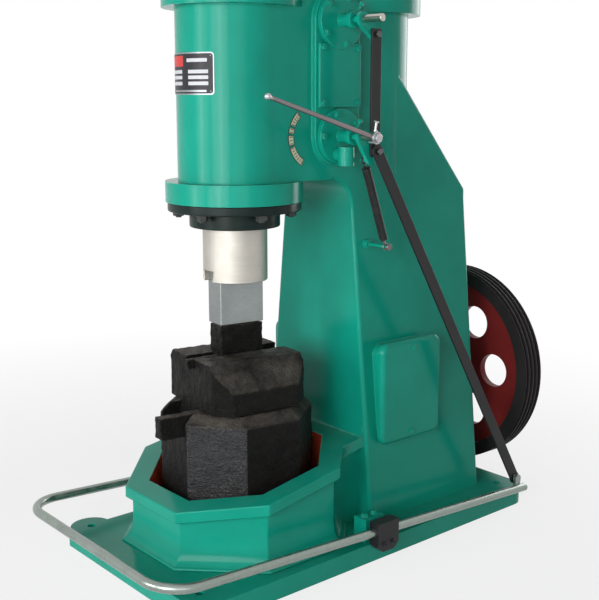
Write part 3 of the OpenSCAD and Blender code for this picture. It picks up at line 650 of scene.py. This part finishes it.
def lathe(bm, profile, sides, place, index=0):
    """Turns a profile of (radius, height) points round the local Z axis of place."""
    rings = []
    for radius, height in profile:
        if radius < 1e-7:
            rings.append([bm.verts.new(place @ Vector((0, 0, height)))])
            continue
        rim = [Vector((radius * math.cos(a), radius * math.sin(a), height)) for a in turns_round(sides)]
        rings.append([bm.verts.new(place @ point) for point in rim])
    for low, high in zip(rings, rings[1:]):
        for i in range(sides):
            j = (i + 1) % sides
            corners = [low[i % len(low)], low[j % len(low)], high[j % len(high)], high[i % len(high)]]
            unique = [v for k, v in enumerate(corners) if v not in corners[:k]]
            if len(unique) > 2:
                bm.faces.new(unique).material_index = index


def facing(at, out):
    """A placement at a point whose local Z axis looks along out."""
    return Matrix.Translation(Vector(at)) @ Vector(out).to_track_quat("Z", "Y").to_matrix().to_4x4()


def hex_bolt(bm, at, out, across, head, turn=0.0):
    """A hexagon head with a chamfer, on a washer, looking along out."""
    place = facing(at, out) @ Matrix.Rotation(turn, 4, "Z")
    corner = across / 2 / math.cos(math.pi / 6)
    base = across * 0.09
    rim = across * 0.7
    lathe(bm, [(0, 0), (rim, 0), (rim, base * 0.7), (rim * 0.96, base), (0, base)], 24, place)
    top = base + head
    profile = [(0, base), (corner, base), (corner, top - head * 0.16), (corner * 0.87, top), (0, top)]
    lathe(bm, profile, 6, place)


def stud_nut(bm, at, out, across, head):
    """A nut on the end of a stud."""
    hex_bolt(bm, at, out, across, head)
    stud = across * 0.31
    top = head * 1.45
    profile = [(0, head), (stud, head), (stud, top - stud * 0.2), (stud * 0.8, top), (0, top)]
    lathe(bm, profile, 16, facing(at, out))


def cap_screw(bm, at, out, width, head):
    """A round screw head with a sunk socket."""
    r = width / 2
    profile = [(0, 0), (r, 0), (r, head * 0.85), (r * 0.88, head), (r * 0.55, head), (r * 0.5, head * 0.45),
               (0, head * 0.4)]
    lathe(bm, profile, 18, facing(at, out))


def on_ring(centre, radius, count, start, normal, across):
    """Points on a circle about centre, in the plane square to normal."""
    side = normal.cross(across)
    for turn in turns_round(count, start):
        yield Vector(centre) + radius * (math.cos(turn) * across + math.sin(turn) * side)


def sweep(bm, path, radius, sides=8):
    """A round bar along a path of points, with closed ends."""
    points = [Vector(p) for p in path]
    side = (points[1] - points[0]).orthogonal().normalized()
    rings = []
    for i, point in enumerate(points):
        ahead = (points[min(i + 1, len(points) - 1)] - points[max(i - 1, 0)]).normalized()
        side = (side - ahead * side.dot(ahead)).normalized()
        up = ahead.cross(side)
        rings.append([bm.verts.new(point + radius * (math.cos(a) * side + math.sin(a) * up))
                      for a in turns_round(sides)])
    for low, high in zip(rings, rings[1:]):
        for k in range(sides):
            m = (k + 1) % sides
            bm.faces.new((low[k], low[m], high[m], high[k]))
    for ring in (rings[0], rings[-1]):
        bm.faces.new(ring)


def strip_slab(bm, columns, index=0):
    """A closed slab from columns of four points: front low, front high, back high, back low."""
    rows = [[bm.verts.new(p) for p in column] for column in columns]
    for a, b in zip(rows, rows[1:]):
        for k in range(4):
            m = (k + 1) % 4
            bm.faces.new((a[k], a[m], b[m], b[k])).material_index = index
    for row in (rows[0], rows[-1]):
        bm.faces.new(row).material_index = index


def barrel_patch(bm, turns, heights, radii, corner, index):
    """A thin plate bent round the front barrel, between two turns, two heights and two radii."""
    inner, outer = radii
    half = math.radians(turns[1] - turns[0]) / 2 * outer
    centre = math.radians(turns[0] + turns[1]) / 2
    steps = {-half, half}
    steps.update(k / 12 * half for k in range(-11, 12) if abs(k / 12 * half) < half - corner)
    for k in range(7):
        inset = corner * (1 - math.cos(math.pi / 2 * k / 6))
        steps.update((half - inset, inset - half))
    columns = []
    for s in sorted(steps):
        into = max(0.0, abs(s) - (half - corner))
        pull = corner - math.sqrt(max(0.0, corner * corner - into * into))
        way = outward(centre + s / outer)
        low, high = heights[0] + pull, heights[1] - pull
        columns.append((way * outer + AXIS_Z * low, way * outer + AXIS_Z * high,
                        way * inner + AXIS_Z * high, way * inner + AXIS_Z * low))
    strip_slab(bm, columns, index)


def arc_patch(bm, radii, turns, proud, index):
    """A thin plate bent round the centre of the lever's scale, standing proud of the head's flat side."""
    count = max(2, math.ceil((turns[1] - turns[0]) / 3))
    columns = []
    for i in range(count + 1):
        turn = math.radians(turns[0] + (turns[1] - turns[0]) * i / count)
        way = Vector((0, math.cos(turn), math.sin(turn)))
        low, high = (Vector((0, SCALE_Y, LOW_VALVE_Z)) + way * r for r in radii)
        face, root = AXIS_X * (HEAD_SIDE + proud), AXIS_X * HEAD_SIDE
        columns.append((low + face, high + face, high + root, low + root))
    strip_slab(bm, columns, index)


def hammered(bm, voxel, depth, seed):
    """Cuts a mesh into small even faces and moves them in and out as a forging's skin does."""
    mesh = bpy.data.meshes.new("forging_blank")
    bm.to_mesh(mesh)
    bm.free()
    blank = bpy.data.objects.new("forging_blank", mesh)
    bpy.context.scene.collection.objects.link(blank)
    grid = blank.modifiers.new("grid", "REMESH")
    grid.mode = "VOXEL"
    grid.voxel_size = voxel
    graph = bpy.context.evaluated_depsgraph_get()
    bm = bmesh.new()
    bm.from_mesh(blank.evaluated_get(graph).to_mesh())
    bpy.data.objects.remove(blank)
    bpy.data.meshes.remove(mesh)
    bmesh.ops.recalc_face_normals(bm, faces=bm.faces)
    bm.normal_update()
    away = Vector((seed, seed * 1.7, -seed))
    for vert in bm.verts:
        broad = noise.noise(vert.co * HOLLOWS + away)
        marks = noise.turbulence(vert.co * HAMMER_MARKS + away, 3, False)
        chips = max(0.0, noise.noise(vert.co * CHIPS - away) - 0.35)
        vert.co += vert.normal * depth * (0.7 * broad + 0.8 * (marks - 0.8) - 1.6 * chips)
    return bm


def within(value, span):
    return span[0] < value < span[1]


def frame_edge_class(edge):
    """Which rounding an edge of the frame takes: its place says what it borders."""
    at = middle(edge)
    x, y, z = abs(at.x), at.y, at.z
    front = math.hypot(x, y)
    rear = math.hypot(x, y - REAR_BARREL_Y)
    off_crank = math.hypot(x, z - CRANKSHAFT_Z)
    if front < BORE_REACH:
        return "bore"
    if any(math.hypot(y - VALVE_Y, z - axis) < VALVE_SOCKET_REACH for axis in (LOW_VALVE_Z, UP_VALVE_Z)):
        return "socket"
    if y > CRANK_SOCKET_Y and off_crank < CRANK_SOCKET_REACH:
        return "socket"
    if within(z, BARREL_Z) and abs(rear - BARREL_R) < BARREL_JOIN:
        return "plain" if convex(edge) else "join"
    if at.x > PAD_X and within(y, PAD_Y) and within(z, PAD_Z):
        return "pad"
    on_rim = z > FLANGE_LOW_Z and within(min(front, rear), FLANGE_REACH)
    at_gland = within(z, GLAND_FLANGE_Z) and front > GLAND_FLANGE_REACH and y < GLAND_FLANGE_BACK
    if z > BARREL_Z[1] or on_rim or at_gland:
        return "flange"
    if x > SEAT_X and within(y, SEAT_Y) and within(z, SEAT_Z):
        return "seat" if convex(edge) else "seat root"
    if y > BEARING_Y and off_crank < BEARING_REACH:
        return "bearing"
    if at.x > STUD_X and within(y, STUD_Y) and within(z, STUD_Z):
        return "stud"
    if z < BASE_TOP or (y < NECK_BACK and z < SWEEP_TOP):
        return "foot"
    return "column"


def without_sweep(bm):
    """Takes the sweep at the collar's rim off the frame and makes the column's front whole."""
    def ahead(vert):
        return vert.co.y < COLUMN_FRONT - 1e-4 and vert.co.z < SWEEP_TOP
    bmesh.ops.delete(bm, geom=[f for f in bm.faces if any(map(ahead, f.verts))], context="FACES")
    bmesh.ops.contextual_create(bm, geom=[e for e in bm.edges if e.is_boundary])
    front = [f for f in bm.faces if all(abs(v.co.y - COLUMN_FRONT) < 1e-4 for v in f.verts)]
    bmesh.ops.dissolve_faces(bm, faces=front, use_verts=True)
    return bm


def column_sweep(bm):
    """The hollow sweep from the collar's rim up the column's front, between its rounded edges."""
    rows = []
    for k in range(SWEEP_STEPS + 1):
        share = k / SWEEP_STEPS
        turn = math.pi / 2 * share
        y = SWEEP_Y + (COLUMN_FRONT - SWEEP_Y) * math.sin(turn)
        z = SWEEP_Z + SWEEP_RISE * (1 - math.cos(turn))
        half = SWEEP_HALF - SWEEP_TAPER * share
        corners = ((-half, y), (half, y), (half, SWEEP_ROOT), (-half, SWEEP_ROOT))
        rows.append([Vector((*corner, z)) for corner in corners])
    strip_slab(bm, rows)


def frame_casting(green):
    """The one-piece frame with generous radii on the column. Edges of a class without a width stay crisp."""
    widths = (
        ("column", detail().cast_round, 4), ("join", 0.005, 2), ("seat", 0.003, 2), ("seat root", 0.006, 2),
        ("flange", detail().flange_round, 3), ("bearing", 0.006, 3), ("pad", detail().plate_round, 3),
        ("stud", 0.003, 2), ("bore", 0.002, 1),
    )
    bm = without_sweep(solid_from("frame", 0.0013))
    for label, width, segments in widths:
        round_edges(bm, width, segments, lambda e: frame_edge_class(e) == label, clamp=label != "column")
    column_sweep(bm)
    stand_in("frame", bm, [green])


def collar_casting(green, primer):
    """The collar round the anvil, painted outside and primed inside."""
    bm = solid_from("anvil_collar", 0.0005)

    def free(edge):
        return convex(edge) and max(v.co.y for v in edge.verts) < COLUMN_FRONT - 0.02

    def primed(face):
        centre = face.calc_center_median()
        inward = face.normal.x * centre.x + face.normal.y * centre.y < -0.05
        return inward and abs(face.normal.z) < 0.3 and centre.y < COLUMN_FRONT - 0.01
    round_edges(bm, COLLAR_ROUND, 3, free)
    for face in bm.faces:
        face.material_index = int(primed(face))
    stand_in("anvil_collar", bm, [green, primer])


def side_cover(node, green):
    """A side cover cast as a soft pillow that takes in the edge of its raised seat."""
    centre = box_middle(node)
    out = math.copysign(1, centre.x)
    bm = solid_from(node)
    for vert in bm.verts:
        vert.co.y += math.copysign(SEAT_EDGE, vert.co.y - centre.y)
        vert.co.z += math.copysign(SEAT_EDGE, vert.co.z - centre.z)
        if (vert.co.x - centre.x) * out < 0:
            vert.co.x -= out * SEAT_EDGE
    round_edges(bm, detail().cover_round, 5, lambda e: middle(e).x * out > abs(centre.x))
    stand_in(node, bm, [green])


def chest_cover(green):
    """The valve chest's cover, thinner than the round covers and reaching in under the upper one."""
    bm = solid_from("valve_chest_cover")
    centre = box_middle("valve_chest_cover")
    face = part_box("valve_chest_cover")[1].x - CHEST_IN
    for vert in bm.verts:
        vert.co.z += CHEST_UP if vert.co.z > centre.z else -CHEST_DOWN
        vert.co.x = min(vert.co.x, face)
    round_edges(bm, detail().plate_round)
    stand_in("valve_chest_cover", bm, [green])


class HAMMER_OT_castings(bpy.types.Operator):
    """Dress the painted castings: frame, base, collar, covers and blocks"""
    bl_idname = "hammer.castings"
    bl_label = "Castings"

    def execute(self, context):
        green = green_paint()
        primer = paint("primer", finish().primer, shade(finish().primer, 0.75), srgb(120, 60, 44), rough=0.6,
                       gloss=0.1)
        frame_casting(green)
        collar_casting(green, primer)
        dress("base_plate", [green], BASE_ROUND)
        for node in ("front_cover", "rear_cover", "bearing_cap"):
            dress(node, [green], detail().flange_round)
        for node in SIDE_COVERS:
            side_cover(node, green)
        for node in ("upper_valve_cover", "lower_valve_cover", "air_elbow", *HINGE_BLOCKS):
            dress(node, [green], detail().plate_round)
        chest_cover(green)
        return {"FINISHED"}


class HAMMER_OT_ram(bpy.types.Operator):
    """Dress the gland, the polished ram and the top die"""
    bl_idname = "hammer.ram"
    bl_label = "Ram and gland"

    def execute(self, context):
        gland = iron("gland_black", finish().gland, rough=0.26, edge_amount=0.35, gloss=0.14)
        for node in ("gland_flange", "gland_ring"):
            dress(node, [gland], GLAND_ROUND)
        polished = bright("polished_ram", finish().steel, 0.46, (9.0, 9.0, 1300.0))
        dress("ram", [polished], TURNED_ROUND)
        ground = bright("ground_die", finish().die, 0.36, (60.0, 60.0, 700.0))
        dress("top_die", [ground], TURNED_ROUND)
        dress("top_die_key", [ground], KEY_ROUND)
        return {"FINISHED"}


class HAMMER_OT_anvil(bpy.types.Operator):
    """Dress the forged anvil, its sow block, the lower die and their wedges"""
    bl_idname = "hammer.anvil"
    bl_label = "Anvil"

    def execute(self, context):
        scale = forging("forged_scale", finish().forged)
        cleaned = forging("anvil_face", finish().forged_face, rough=0.5, grain=70.0, strength=1.0, gloss=0.4)
        front = outward(DIE_TURN + math.pi / 4)
        # Each blank's rounding, the size of its small faces and its seed.
        blanks = {
            "anvil": (0.009, 0.005, 3.1), "sow_block": (0.004, 0.004, 7.7), "bottom_die": (0.004, 0.004, 5.3),
            "sow_wedge": (0.004, 0.004, 9.2), "bottom_die_key": (0.002, 0.003, 4.4),
        }
        for node, (width, voxel, seed) in blanks.items():
            bm = hammered(round_edges(solid_from(node), width, 3), voxel, detail().forging_grain, seed)
            for face in bm.faces:
                lit = face.normal.dot(front) > 0.8 and face.calc_center_median().dot(front) > 0.2
                face.material_index = int(node == "anvil" and lit)
            stand_in(node, bm, [scale, cleaned])
        return {"FINISHED"}


def valve_shaft(node, tip, green):
    """A turned shaft with a chamfered tip, painted over where it leaves its boss."""
    low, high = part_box(node)
    run = high.x - low.x
    painted = CRANK_FACE - low.x
    chamfer = 0.002
    profile = [(0, 0), (SHAFT_R, 0), (SHAFT_R, painted), (SHAFT_R, painted + 0.0005),
               (SHAFT_R, run - chamfer), (SHAFT_R - chamfer, run), (0, run)]
    bm = bmesh.new()
    lathe(bm, profile, 32, facing((low.x, VALVE_Y, (low.z + high.z) / 2), AXIS_X))
    for face in bm.faces:
        face.material_index = int(face.calc_center_median().x < CRANK_FACE)
    stand_in(node, bm, [tip, green])


def oil_cups(bm):
    """Oil cups on leaning stems, on the collars of the valve bosses."""
    lean = Vector((0.1, 0.5, 0.86)).normalized()
    profile = [(0, 0), (0.006, 0), (0.006, 0.006), (0.0035, 0.008), (0.0035, 0.022), (0.0065, 0.024),
               (0.0075, 0.030), (0.0065, 0.035), (0.003, 0.038), (0, 0.0385)]
    for z in (LOW_VALVE_Z, UP_VALVE_Z):
        at = Vector((BOSS_END - 0.010, VALVE_Y, z)) + lean * (BOSS_COLLAR_R - 0.003)
        lathe(bm, profile, 20, facing(at, lean))


def lever_fittings(bm):
    """The nut on the hand lever's hub and the locking screw that stands on it, with its cross pin."""
    hub = Vector((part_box("hand_lever")[1].x, VALVE_Y, LOW_VALVE_Z))
    hex_bolt(bm, hub, AXIS_X, 0.025, 0.009, turn=0.3)
    up = Vector((0, 0.16, 0.987))
    foot = hub - AXIS_X * 0.011 + up * 0.017
    collar, stem, tall = 0.006, 0.0036, 0.028
    profile = [(0, 0), (collar, 0), (collar, 0.005), (stem, 0.006), (stem, tall), (0, tall)]
    lathe(bm, profile, 16, facing(foot, up))
    top = foot + up * (tall + 0.001)
    reach = up.cross(AXIS_X) * 0.009
    sweep(bm, [top - reach, top + reach], 0.0032, 10)


class HAMMER_OT_valve_gear(bpy.types.Operator):
    """Dress the valve shafts, cranks, hand lever, link bar and treadle rod, and set the oil cups"""
    bl_idname = "hammer.valve_gear"
    bl_label = "Valve gear"

    def execute(self, context):
        steel, black, green, dull = bright_steel(), black_iron(), green_paint(), dull_steel()
        pin = bright("pin_steel", srgb(104, 104, 106), 0.34, (40.0, 500.0, 500.0))
        polished = bright("lever_polish", srgb(188, 188, 190), 0.2, (60.0, 60.0, 60.0))

        def past_crank(face):
            return int(face.calc_center_median().x > CRANK_FACE)

        def hub_or_knob(face):
            at = face.calc_center_median()
            return int(math.hypot(at.y - VALVE_Y, at.z - LOW_VALVE_Z) < HUB_R or at.y < KNOB_Y)
        for node in ("upper_valve_shaft", "lower_valve_shaft"):
            valve_shaft(node, steel, green)
        for node in ("upper_crank", "lower_crank"):
            dress(node, [green, pin], CRANK_ROUND, segments=2, pick=past_crank)
        for node in ("link_bar", "treadle_rod"):
            dress(node, [black], BAR_ROUND, segments=2)
        dress("hand_lever", [dull, polished], LEVER_ROUND, segments=2, pick=hub_or_knob)
        fit(lever_fittings, polished, "lower_valve_body")
        fit(oil_cups, green, "frame_body")
        return {"FINISHED"}


def clamp_screws(bm):
    """Two cap screws on each clamp of the treadle."""
    for node in CLAMPS:
        x, out = outer_face(node)
        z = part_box(node)[0].z + CLAMP_SCREW_UP
        for y in CLAMP_SCREW_Y:
            cap_screw(bm, (x, y, z), out, 0.013, 0.006)


class HAMMER_OT_treadle(bpy.types.Operator):
    """Dress the treadle pipe and its clamps"""
    bl_idname = "hammer.treadle"
    bl_label = "Treadle"

    def execute(self, context):
        black = black_iron()
        dress("treadle", [galvanised("zinc_pipe", finish().zinc)], PIPE_ROUND, segments=2)
        for node in CLAMPS:
            dress(node, [black], CLAMP_ROUND, segments=4)
        fit(clamp_screws, black, "treadle_body")
        return {"FINISHED"}


def spring_wire(bm):
    """The return spring: a closely wound coil, and the eye that its wire leads to at the top."""
    wire = detail().spring_wire / 2
    radius = detail().spring_coil / 2 - wire
    turns = detail().spring_turns
    along = (SPRING_FOOT - SPRING_TOP).normalized()
    side = along.cross(AXIS_X)
    up = along.cross(side)
    run = (SPRING_FOOT - SPRING_TOP).length - 2 * SPRING_LEAD
    per_turn = 14
    coil = []
    for i in range(turns * per_turn + 1):
        a = 2 * math.pi * i / per_turn
        at = SPRING_TOP + along * (SPRING_LEAD + run * i / (turns * per_turn))
        coil.append(at + radius * (math.cos(a) * side + math.sin(a) * up))
    sweep(bm, coil, wire)
    lead = [SPRING_TOP + along * (SPRING_LEAD - back) + side * aside
            for back, aside in ((0, radius), (0.005, radius * 0.6), (0.011, 0.001))]
    eye = [SPRING_TOP + SPRING_EYE_R * (math.cos(a) * along + math.sin(a) * side)
           for a in (math.radians(k) for k in range(0, 331, 15))]
    sweep(bm, lead + eye, wire)


class HAMMER_OT_spring(bpy.types.Operator):
    """Wind the return spring and dress its hook and stud"""
    bl_idname = "hammer.spring"
    bl_label = "Return spring"

    def execute(self, context):
        dull, black = dull_steel(), iron("spring_black", srgb(34, 36, 36), rough=0.3, edge_amount=0.7)

        def painted(face):
            return int(face.calc_center_median().x <= SPRING_FOOT.x - 0.006)
        stand_in("spring_coil", modelled(spring_wire), [black])
        dress("spring_hook", [dull], 0.0)
        dress("spring_stud", [dull, green_paint()], STUD_ROUND, segments=2, pick=painted)
        return {"FINISHED"}


class HAMMER_OT_flywheel(bpy.types.Operator):
    """Dress the flywheel's red web and black rim, and the crankshaft"""
    bl_idname = "hammer.flywheel"
    bl_label = "Flywheel"

    def execute(self, context):
        red, black = finish().wheel_red, finish().rim_black
        web = paint("wheel_red", red, shade(red, 0.7), srgb(84, 40, 38), rough=0.32, dust=0.15)
        rim = paint("rim_black", black, shade(black, 0.7), srgb(90, 90, 96), rough=0.34, edge_amount=0.4, dust=0.15)
        centre = box_middle("flywheel")
        rim_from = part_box("flywheel")[1].z - centre.z - RIM_DEPTH

        def on_rim(face):
            return int(all(math.hypot(v.co.x - centre.x, v.co.z - centre.z) > rim_from for v in face.verts))
        dress("flywheel", [web, rim], TURNED_ROUND, segments=2, pick=on_rim)
        dress("crankshaft", [bright_steel()], TURNED_ROUND, segments=2)
        return {"FINISHED"}


def nameplate(bm):
    """A bent plate with a bare border, a dark field, a red corner and blank boxes."""
    low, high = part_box("nameplate")
    bare, dark, red, pale = range(4)
    bottom, top = low.z, high.z
    layers = [
        ((-35, 35), (bottom, top), PLATE_SHEET, 0.010, bare),
        ((-33.9, 33.9), (bottom + 0.0036, top - 0.0036), PLATE_FIELD, 0.008, dark),
        ((-32, -3), (top - 0.039, top - 0.009), PLATE_PRINT, 0.002, red),
        ((3, 28), (top - 0.027, top - 0.017), PLATE_PRINT, 0.002, pale),
    ]
    for z in (top - 0.054, top - 0.070, top - 0.087):
        for turns in ((-28, -5), (5, 29)):
            layers.append((turns, (z - 0.005, z + 0.005), PLATE_PRINT, 0.001, pale))
    layers.append(((-27, 27), (bottom + 0.008, bottom + 0.0135), PLATE_FOOT, 0.001, bare))
    for layer in layers:
        barrel_patch(bm, *layer)
    rivet = [(0, 0), (0.0022, 0), (0.0018, 0.0008), (0.0009, 0.0012), (0, 0.0013)]
    for turn in (-RIVET_TURN, RIVET_TURN):
        way = outward(math.radians(turn))
        for z in (bottom + 0.010, top - 0.010):
            lathe(bm, rivet, 12, facing(way * RIVET_R + AXIS_Z * z, way), bare)


def lever_scale(bm):
    """Four curved segments with dark borders and plain graduation marks."""
    cream, dark = range(2)
    start = SCALE_FROM
    inner, outer = SCALE_R - SCALE_W / 2, SCALE_R + SCALE_W / 2
    for span in SCALE_SPANS:
        end = start + span
        arc_patch(bm, (inner, outer), (start, end), 0.0018, dark)
        arc_patch(bm, (inner + SCALE_BORDER, outer - SCALE_BORDER),
                  (start + SCALE_BORDER_TURN, end - SCALE_BORDER_TURN), 0.0021, cream)
        count = max(1, round(span / MARK_SPACING))
        for i in range(count):
            turn = start + span * (i + 0.5) / count
            reach = MARK_REACHES[i % 2]
            arc_patch(bm, (SCALE_R - reach, SCALE_R + reach), (turn - MARK_HALF_TURN, turn + MARK_HALF_TURN),
                      0.0023, dark)
        start = end + SCALE_GAP


class HAMMER_OT_plates(bpy.types.Operator):
    """Make the nameplate and the lever's scale, both without lettering"""
    bl_idname = "hammer.plates"
    bl_label = "Plates"

    def execute(self, context):
        bare = bright("bare_sheet", srgb(162, 166, 170), 0.34, (200.0, 200.0, 30.0))
        dark = printed("plate_field", finish().plate_dark)
        red = printed("plate_corner", finish().plate_red)
        pale = printed("plate_blanks", finish().plate_pale)
        cream = printed("scale_cream", finish().scale_cream)
        stand_in("nameplate", modelled(nameplate), [bare, dark, red, pale])
        stand_in("lever_scale", modelled(lever_scale), [cream, dark])
        return {"FINISHED"}


def cover_bolts(bm):
    """Bolts round the two cylinder covers."""
    for node in ("front_cover", "rear_cover"):
        centre = box_middle(node)
        centre.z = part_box(node)[1].z - COVER_SINK
        for at in on_ring(centre, COVER_BOLT_R, 8, math.pi / 8, AXIS_Z, AXIS_X):
            hex_bolt(bm, at, AXIS_Z, detail().cover_bolt, 0.013)


def valve_bolts(bm):
    """Bolts on the valve covers, clear of the air elbow, and on the valve chest's cover."""
    across, head = detail().valve_bolt, 0.007
    for z, start in VALVE_BOLT_FROM.items():
        for turn in (math.radians(start + 72 * i) for i in range(5)):
            round_axis = VALVE_BOLT_R * Vector((0, math.cos(turn), math.sin(turn)))
            at = Vector((VALVE_FACE, VALVE_Y, z)) + round_axis
            at_elbow = z == LOW_VALVE_Z and at.z <= z - ELBOW_DROP and at.y <= VALVE_Y + ELBOW_REACH
            if not at_elbow:
                hex_bolt(bm, at, AXIS_X, across, head, turn=turn)
    low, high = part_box("valve_chest_cover")
    for y in (low.y + 0.014, high.y - 0.014):
        for z in (low.z + 0.010, high.z + CHEST_UP - 0.014):
            hex_bolt(bm, (high.x - CHEST_IN, y, z), AXIS_X, across, head, turn=y + z)


def block_bolts(bm):
    """Bolts on the hinge blocks, the side covers and the bearing cap."""
    for node in HINGE_BLOCKS:
        low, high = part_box(node)
        x = low.x + 0.026 if low.x > 0 else high.x - 0.026
        for y in (low.y + 0.020, high.y - 0.020):
            hex_bolt(bm, (x, y, high.z), AXIS_Z, 0.019, 0.009, turn=y)
    for node in SIDE_COVERS:
        low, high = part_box(node)
        x, out = outer_face(node)
        for z in (low.z + 0.016, high.z - 0.016):
            hex_bolt(bm, (x, (low.y + high.y) / 2, z), out, 0.015, 0.006, turn=z)
    cap_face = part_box("bearing_cap")[1].y
    for at in on_ring((0, cap_face, CRANKSHAFT_Z), CAP_BOLT_R, 6, 0.3, AXIS_Y, AXIS_X):
        hex_bolt(bm, at, AXIS_Y, 0.024, 0.011)


def gland_bolts(bm):
    """Studs with nuts under the gland's flange."""
    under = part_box("gland_flange")[0].z
    for at in on_ring((0, 0, under), GLAND_BOLT_R, 6, math.radians(-70), AXIS_Z, AXIS_X):
        stud_nut(bm, at, -AXIS_Z, detail().gland_bolt, 0.016)


class HAMMER_OT_fasteners(bpy.types.Operator):
    """Set the bolts on the covers, the gland, the valves and the blocks"""
    bl_idname = "hammer.fasteners"
    bl_label = "Fasteners"

    def execute(self, context):
        green = green_paint()
        black = iron("bolt_black", srgb(44, 48, 47), rough=0.34)
        for build in (cover_bolts, valve_bolts, block_bolts):
            fit(build, green, "frame_body")
        fit(gland_bolts, black, "frame_body")
        return {"FINISHED"}


def lamp(name, turn, apart, width, power):
    """An area lamp at a turn from the front in degrees, aimed at the machine."""
    data = bpy.data.lights.new(name, "AREA")
    data.shape = "RECTANGLE"
    data.size, data.size_y = width, LAMP_TALL
    data.energy = power
    made = bpy.data.objects.new(name, data)
    made.location = outward(math.radians(turn)) * apart + AXIS_Z * LAMP_UP
    made.rotation_euler = (LAMP_AIM - made.location).to_track_quat("-Z", "Y").to_euler()
    made.visible_camera = False
    bpy.context.scene.collection.objects.link(made)


def studio_lamps():
    """Soft panels in front, at the side and behind, and two strips that draw lines on the barrel."""
    light = studio()
    panels = ((-10, 1.9, light.fill), (27, 2.2, light.front), (62, 1.8, light.side), (180, 2.2, light.back))
    for turn, width, power in panels:
        lamp("panel", turn, PANEL_APART, width, power)
    for turn in (-12, 28):
        lamp("strip", turn, STRIP_APART, STRIP_WIDE, light.strip)


def seen_directly(t):
    """1 for rays that show the background itself, also in metal and glass."""
    path = t.add("LightPath").outputs
    seen = t.math("MAXIMUM", path["Is Camera Ray"], path["Is Glossy Ray"])
    return t.math("MAXIMUM", seen, path["Is Transmission Ray"])


def studio_floor():
    """A wide pale floor that turns white with distance and keeps the machine's shadow."""
    bm = bmesh.new()
    bmesh.ops.create_grid(bm, x_segments=24, y_segments=24, size=14)
    mesh = bpy.data.meshes.new("studio_floor")
    bm.to_mesh(mesh)
    bm.free()
    floor = bpy.data.objects.new("studio_floor", mesh)
    bpy.context.scene.collection.objects.link(floor)
    made = bpy.data.materials.new("studio_floor")
    made.use_nodes = True
    made.node_tree.nodes.clear()
    t = Tree(made.node_tree)
    grain = t.noise(t.place(), 3.0, 4.0)
    matt = t.add("BsdfDiffuse", {"Color": t.blend(grain, (0.78, 0.78, 0.78, 1), (0.82, 0.82, 0.82, 1))})
    white = t.add("Emission", {"Color": (1, 1, 1, 1), "Strength": 1.0})
    apart = t.add("VectorMath", {0: t.place()}, operation="LENGTH").outputs["Value"]
    share = t.math("MULTIPLY", t.ramp(apart, 1.0, 3.2, 0.78, 1.0), seen_directly(t))
    mix = t.add("MixShader", {0: share, 1: matt.outputs[0], 2: white.outputs[0]})
    t.add("OutputMaterial", {"Surface": mix.outputs[0]})
    mesh.materials.append(made)


def studio_world(scene):
    """An even white world, dimmer as a light than it is to look at."""
    world = bpy.data.worlds.new("studio_world")
    world.use_nodes = True
    world.node_tree.nodes.clear()
    scene.world = world
    t = Tree(world.node_tree)
    height = t.add("SeparateXYZ", {0: t.add("TexCoord").outputs["Generated"]}).outputs["Z"]
    light = t.ramp(height, 0.1, 0.9, studio().horizon, studio().overhead)
    strength = t.math("MAXIMUM", light, seen_directly(t))
    back = t.add("Background", {"Color": (1, 1, 1, 1), "Strength": strength})
    t.add("OutputWorld", {"Surface": back.outputs[0]})


def photo_camera(scene):
    """The camera at the photograph's place."""
    data = bpy.data.cameras.new("photo_camera")
    data.sensor_fit = "HORIZONTAL"
    data.sensor_width = 36
    data.lens = studio().lens
    camera = bpy.data.objects.new("photo_camera", data)
    camera.location = studio().place
    camera.rotation_euler = (math.pi / 2 - studio().tilt, 0, studio().turn)
    scene.collection.objects.link(camera)
    scene.camera = camera


class HAMMER_OT_stage(bpy.types.Operator):
    """Set the floor, the lamps, the world and the camera"""
    bl_idname = "hammer.stage"
    bl_label = "Stage"

    def execute(self, context):
        scene = context.scene
        scene.view_settings.view_transform = "Standard"
        studio_floor()
        studio_world(scene)
        studio_lamps()
        photo_camera(scene)
        return {"FINISHED"}


class HAMMER_PT_sidebar(bpy.types.Panel):
    """Lists the steps that dress the hammer"""
    bl_idname = "HAMMER_PT_sidebar"
    bl_label = "Air forging hammer"
    bl_space_type = "VIEW_3D"
    bl_region_type = "UI"
    bl_category = "Hammer"

    def draw(self, context):
        for step in STEPS:
            self.layout.operator(step.bl_idname)


STEPS = (HAMMER_OT_castings, HAMMER_OT_ram, HAMMER_OT_anvil, HAMMER_OT_valve_gear, HAMMER_OT_treadle,
         HAMMER_OT_spring, HAMMER_OT_flywheel, HAMMER_OT_plates, HAMMER_OT_fasteners, HAMMER_OT_stage)
CLASSES = (HammerFinish, HammerDetail, HammerStudio, *STEPS, HAMMER_PT_sidebar)


def register():
    for made in CLASSES:
        bpy.utils.register_class(made)
    bpy.types.Scene.hammer_finish = PointerProperty(type=HammerFinish)
    bpy.types.Scene.hammer_detail = PointerProperty(type=HammerDetail)
    bpy.types.Scene.hammer_studio = PointerProperty(type=HammerStudio)


def unregister():
    del bpy.types.Scene.hammer_studio
    del bpy.types.Scene.hammer_detail
    del bpy.types.Scene.hammer_finish
    for made in reversed(CLASSES):
        bpy.utils.unregister_class(made)


def main():
    register()
    bpy.ops.hammer.castings()
    bpy.ops.hammer.ram()
    bpy.ops.hammer.anvil()
    bpy.ops.hammer.valve_gear()
    bpy.ops.hammer.treadle()
    bpy.ops.hammer.spring()
    bpy.ops.hammer.flywheel()
    bpy.ops.hammer.plates()
    bpy.ops.hammer.fasteners()
    bpy.ops.hammer.stage()
    bpy.context.view_layer.update()


if __name__ == "__main__":
    main()
